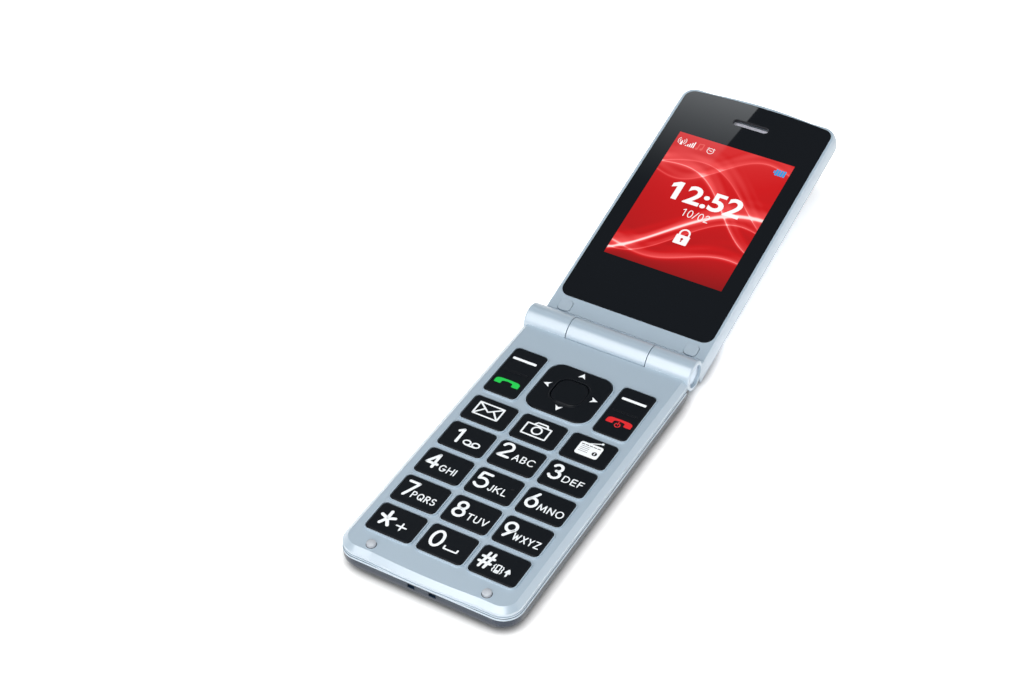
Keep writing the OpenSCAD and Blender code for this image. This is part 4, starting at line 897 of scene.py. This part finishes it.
# the lower housing's corners, rounder towards the underside, laid over its cut ones
cornerPlan = {"side": 25.3, "front": -48.725, "frontHigh": 5.35, "least": 5.5, "rear": 50.025,
              "rearHigh": 2.6, "top": 3.4, "more": 6.25, "high": 6.1, "bulge": 1.5, "under": 4.2,
              "proud": 0.02, "wall": 0.8, "run": 1.2, "levels": 14, "crowd": 1.6, "steps": 12}


def cornerOutline(z, least, inward):
    # points round one corner at a height, measured inward from the two sides' planes
    plan = cornerPlan
    bulge = plan["more"] * (1 - z / plan["high"]) ** plan["bulge"] + plan["top"]
    r, under = max(bulge, least), plan["under"]
    inset = under - math.sqrt(under ** 2 - max(under - z, 0) ** 2) - plan["proud"] + inward
    turns = [math.pi / 2 * i / plan["steps"] for i in range(plan["steps"] + 1)]
    bend = [(r - (r - inset) * math.cos(a), r - (r - inset) * math.sin(a)) for a in turns]
    return [(inset + plan["proud"], r + plan["run"]), *bend, (r + plan["run"], inset + plan["proud"])]


def cornerSkin(edge, way, least, high):
    plan = cornerPlan
    form = bmesh.new()
    heights = [high * (i / plan["levels"]) ** plan["crowd"] for i in range(plan["levels"] + 1)]
    for side in (-1, 1):
        skins = []
        for inward in (0, plan["wall"]):
            skins.append([[form.verts.new((side * (plan["side"] - u) * mm, (edge + way * v) * mm, z * mm))
                           for u, v in cornerOutline(z, least, inward)] for z in heights])
        outer, inner = skins
        last = len(outer[0]) - 1
        for k in range(plan["levels"]):
            for i in range(last):
                form.faces.new((outer[k][i], outer[k][i + 1], outer[k + 1][i + 1], outer[k + 1][i]))
                form.faces.new((inner[k][i], inner[k + 1][i], inner[k + 1][i + 1], inner[k][i + 1]))
            for i in (0, last):
                form.faces.new((outer[k][i], outer[k + 1][i], inner[k + 1][i], inner[k][i]))
        for k in (0, plan["levels"]):
            for i in range(last):
                form.faces.new((outer[k][i], outer[k][i + 1], inner[k][i + 1], inner[k][i]))
    return meshFrom(form, "skin")


skins = [cornerSkin(cornerPlan["front"], 1, cornerPlan["least"], cornerPlan["frontHigh"]),
         cornerSkin(cornerPlan["rear"], -1, 0, cornerPlan["rearHigh"])]
keep(joined("corner_skins", skins), "base", "graphite_plastic")


# a bright line under the silver housing, round the front and both sides
trimPlan = {"side": 25.3, "front": -48.725, "back": 44.0, "corner": 5.5, "low": 5.4, "high": 5.95,
            "proud": 0.05, "edge": 0.06, "wall": 0.35, "steps": 12}


def trimLine(plan):
    x, y, r = plan["side"] - plan["corner"], plan["front"] + plan["corner"], plan["corner"]
    section = [(-plan["wall"], plan["low"]), (0, plan["low"]), (plan["proud"], plan["low"] + plan["edge"]),
               (plan["proud"], plan["high"] - plan["edge"]), (0, plan["high"]), (-plan["wall"], plan["high"])]
    stations = [(x, plan["back"], 0.0)]
    for side, start in ((1, 0), (-1, -90)):
        for i in range(plan["steps"] + 1):
            stations.append((side * x, y, math.radians(start - 90 * i / plan["steps"])))
    stations.append((-x, plan["back"], math.pi))
    form = bmesh.new()
    rings = []
    for cx, cy, a in stations:
        bend = [(cx + (r + out) * math.cos(a), cy + (r + out) * math.sin(a), z) for out, z in section]
        rings.append([form.verts.new((x * mm, y * mm, z * mm)) for x, y, z in bend])
    wallsBetween(form, rings)
    form.faces.new(rings[0])
    form.faces.new(rings[-1][::-1])
    return meshFrom(form, "trim_line")


keep(newPiece("trim_line", trimLine(trimPlan)), "base", "silver_paint")


def turned(name, profile, place, steps=48):
    # a ring turned from a closed profile of (radius, height) in millimetres
    form = bmesh.new()
    rings = []
    for i in range(steps):
        x, y = math.cos(2 * math.pi * i / steps) * mm, math.sin(2 * math.pi * i / steps) * mm
        rings.append([form.verts.new((r * x, r * y, z * mm)) for r, z in profile])
    wallsBetween(form, rings + rings[:1])
    return newPiece(name, meshFrom(form, name), place)


# black rings round the rubber stops, painted shade of the recess round each stop
stopShadePlan = {"face": 9.0, "slack": 0.01, "wide": 0.17, "low": -0.1, "high": 0.02}
stopLow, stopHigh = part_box("bumper_pads")
stopR = (stopHigh.y - stopLow.y) / 2
inner, outer = stopR / mm + stopShadePlan["slack"], stopR / mm + stopShadePlan["wide"]
low, high = stopShadePlan["low"], stopShadePlan["high"]
# painted shade: a thin black annulus laid in the face round each stop
rim = [(inner, low), (outer, low), (outer, high), (inner, high)]
for label, x in (("left", stopLow.x + stopR), ("right", stopHigh.x - stopR)):
    atStop = Matrix.Translation((x, stopLow.y + stopR, stopShadePlan["face"] * mm))
    keep(turned("stop_shade_ring_" + label, rim, atStop), "base", "black_plastic")

lensPlan = {"y": 21.0, "back": -9.15,
            "profile": [(2.45, 0.1), (2.45, -0.02), (2.6, -0.1), (3.1, -0.1), (3.3, 0.0), (3.3, 0.1)]}
atLens = lidPlace @ Matrix.Translation((0, lensPlan["y"] * mm, lensPlan["back"] * mm))
keep(turned("lens_ring", lensPlan["profile"], atLens), "lid", "barrel_metal")
print("details made")
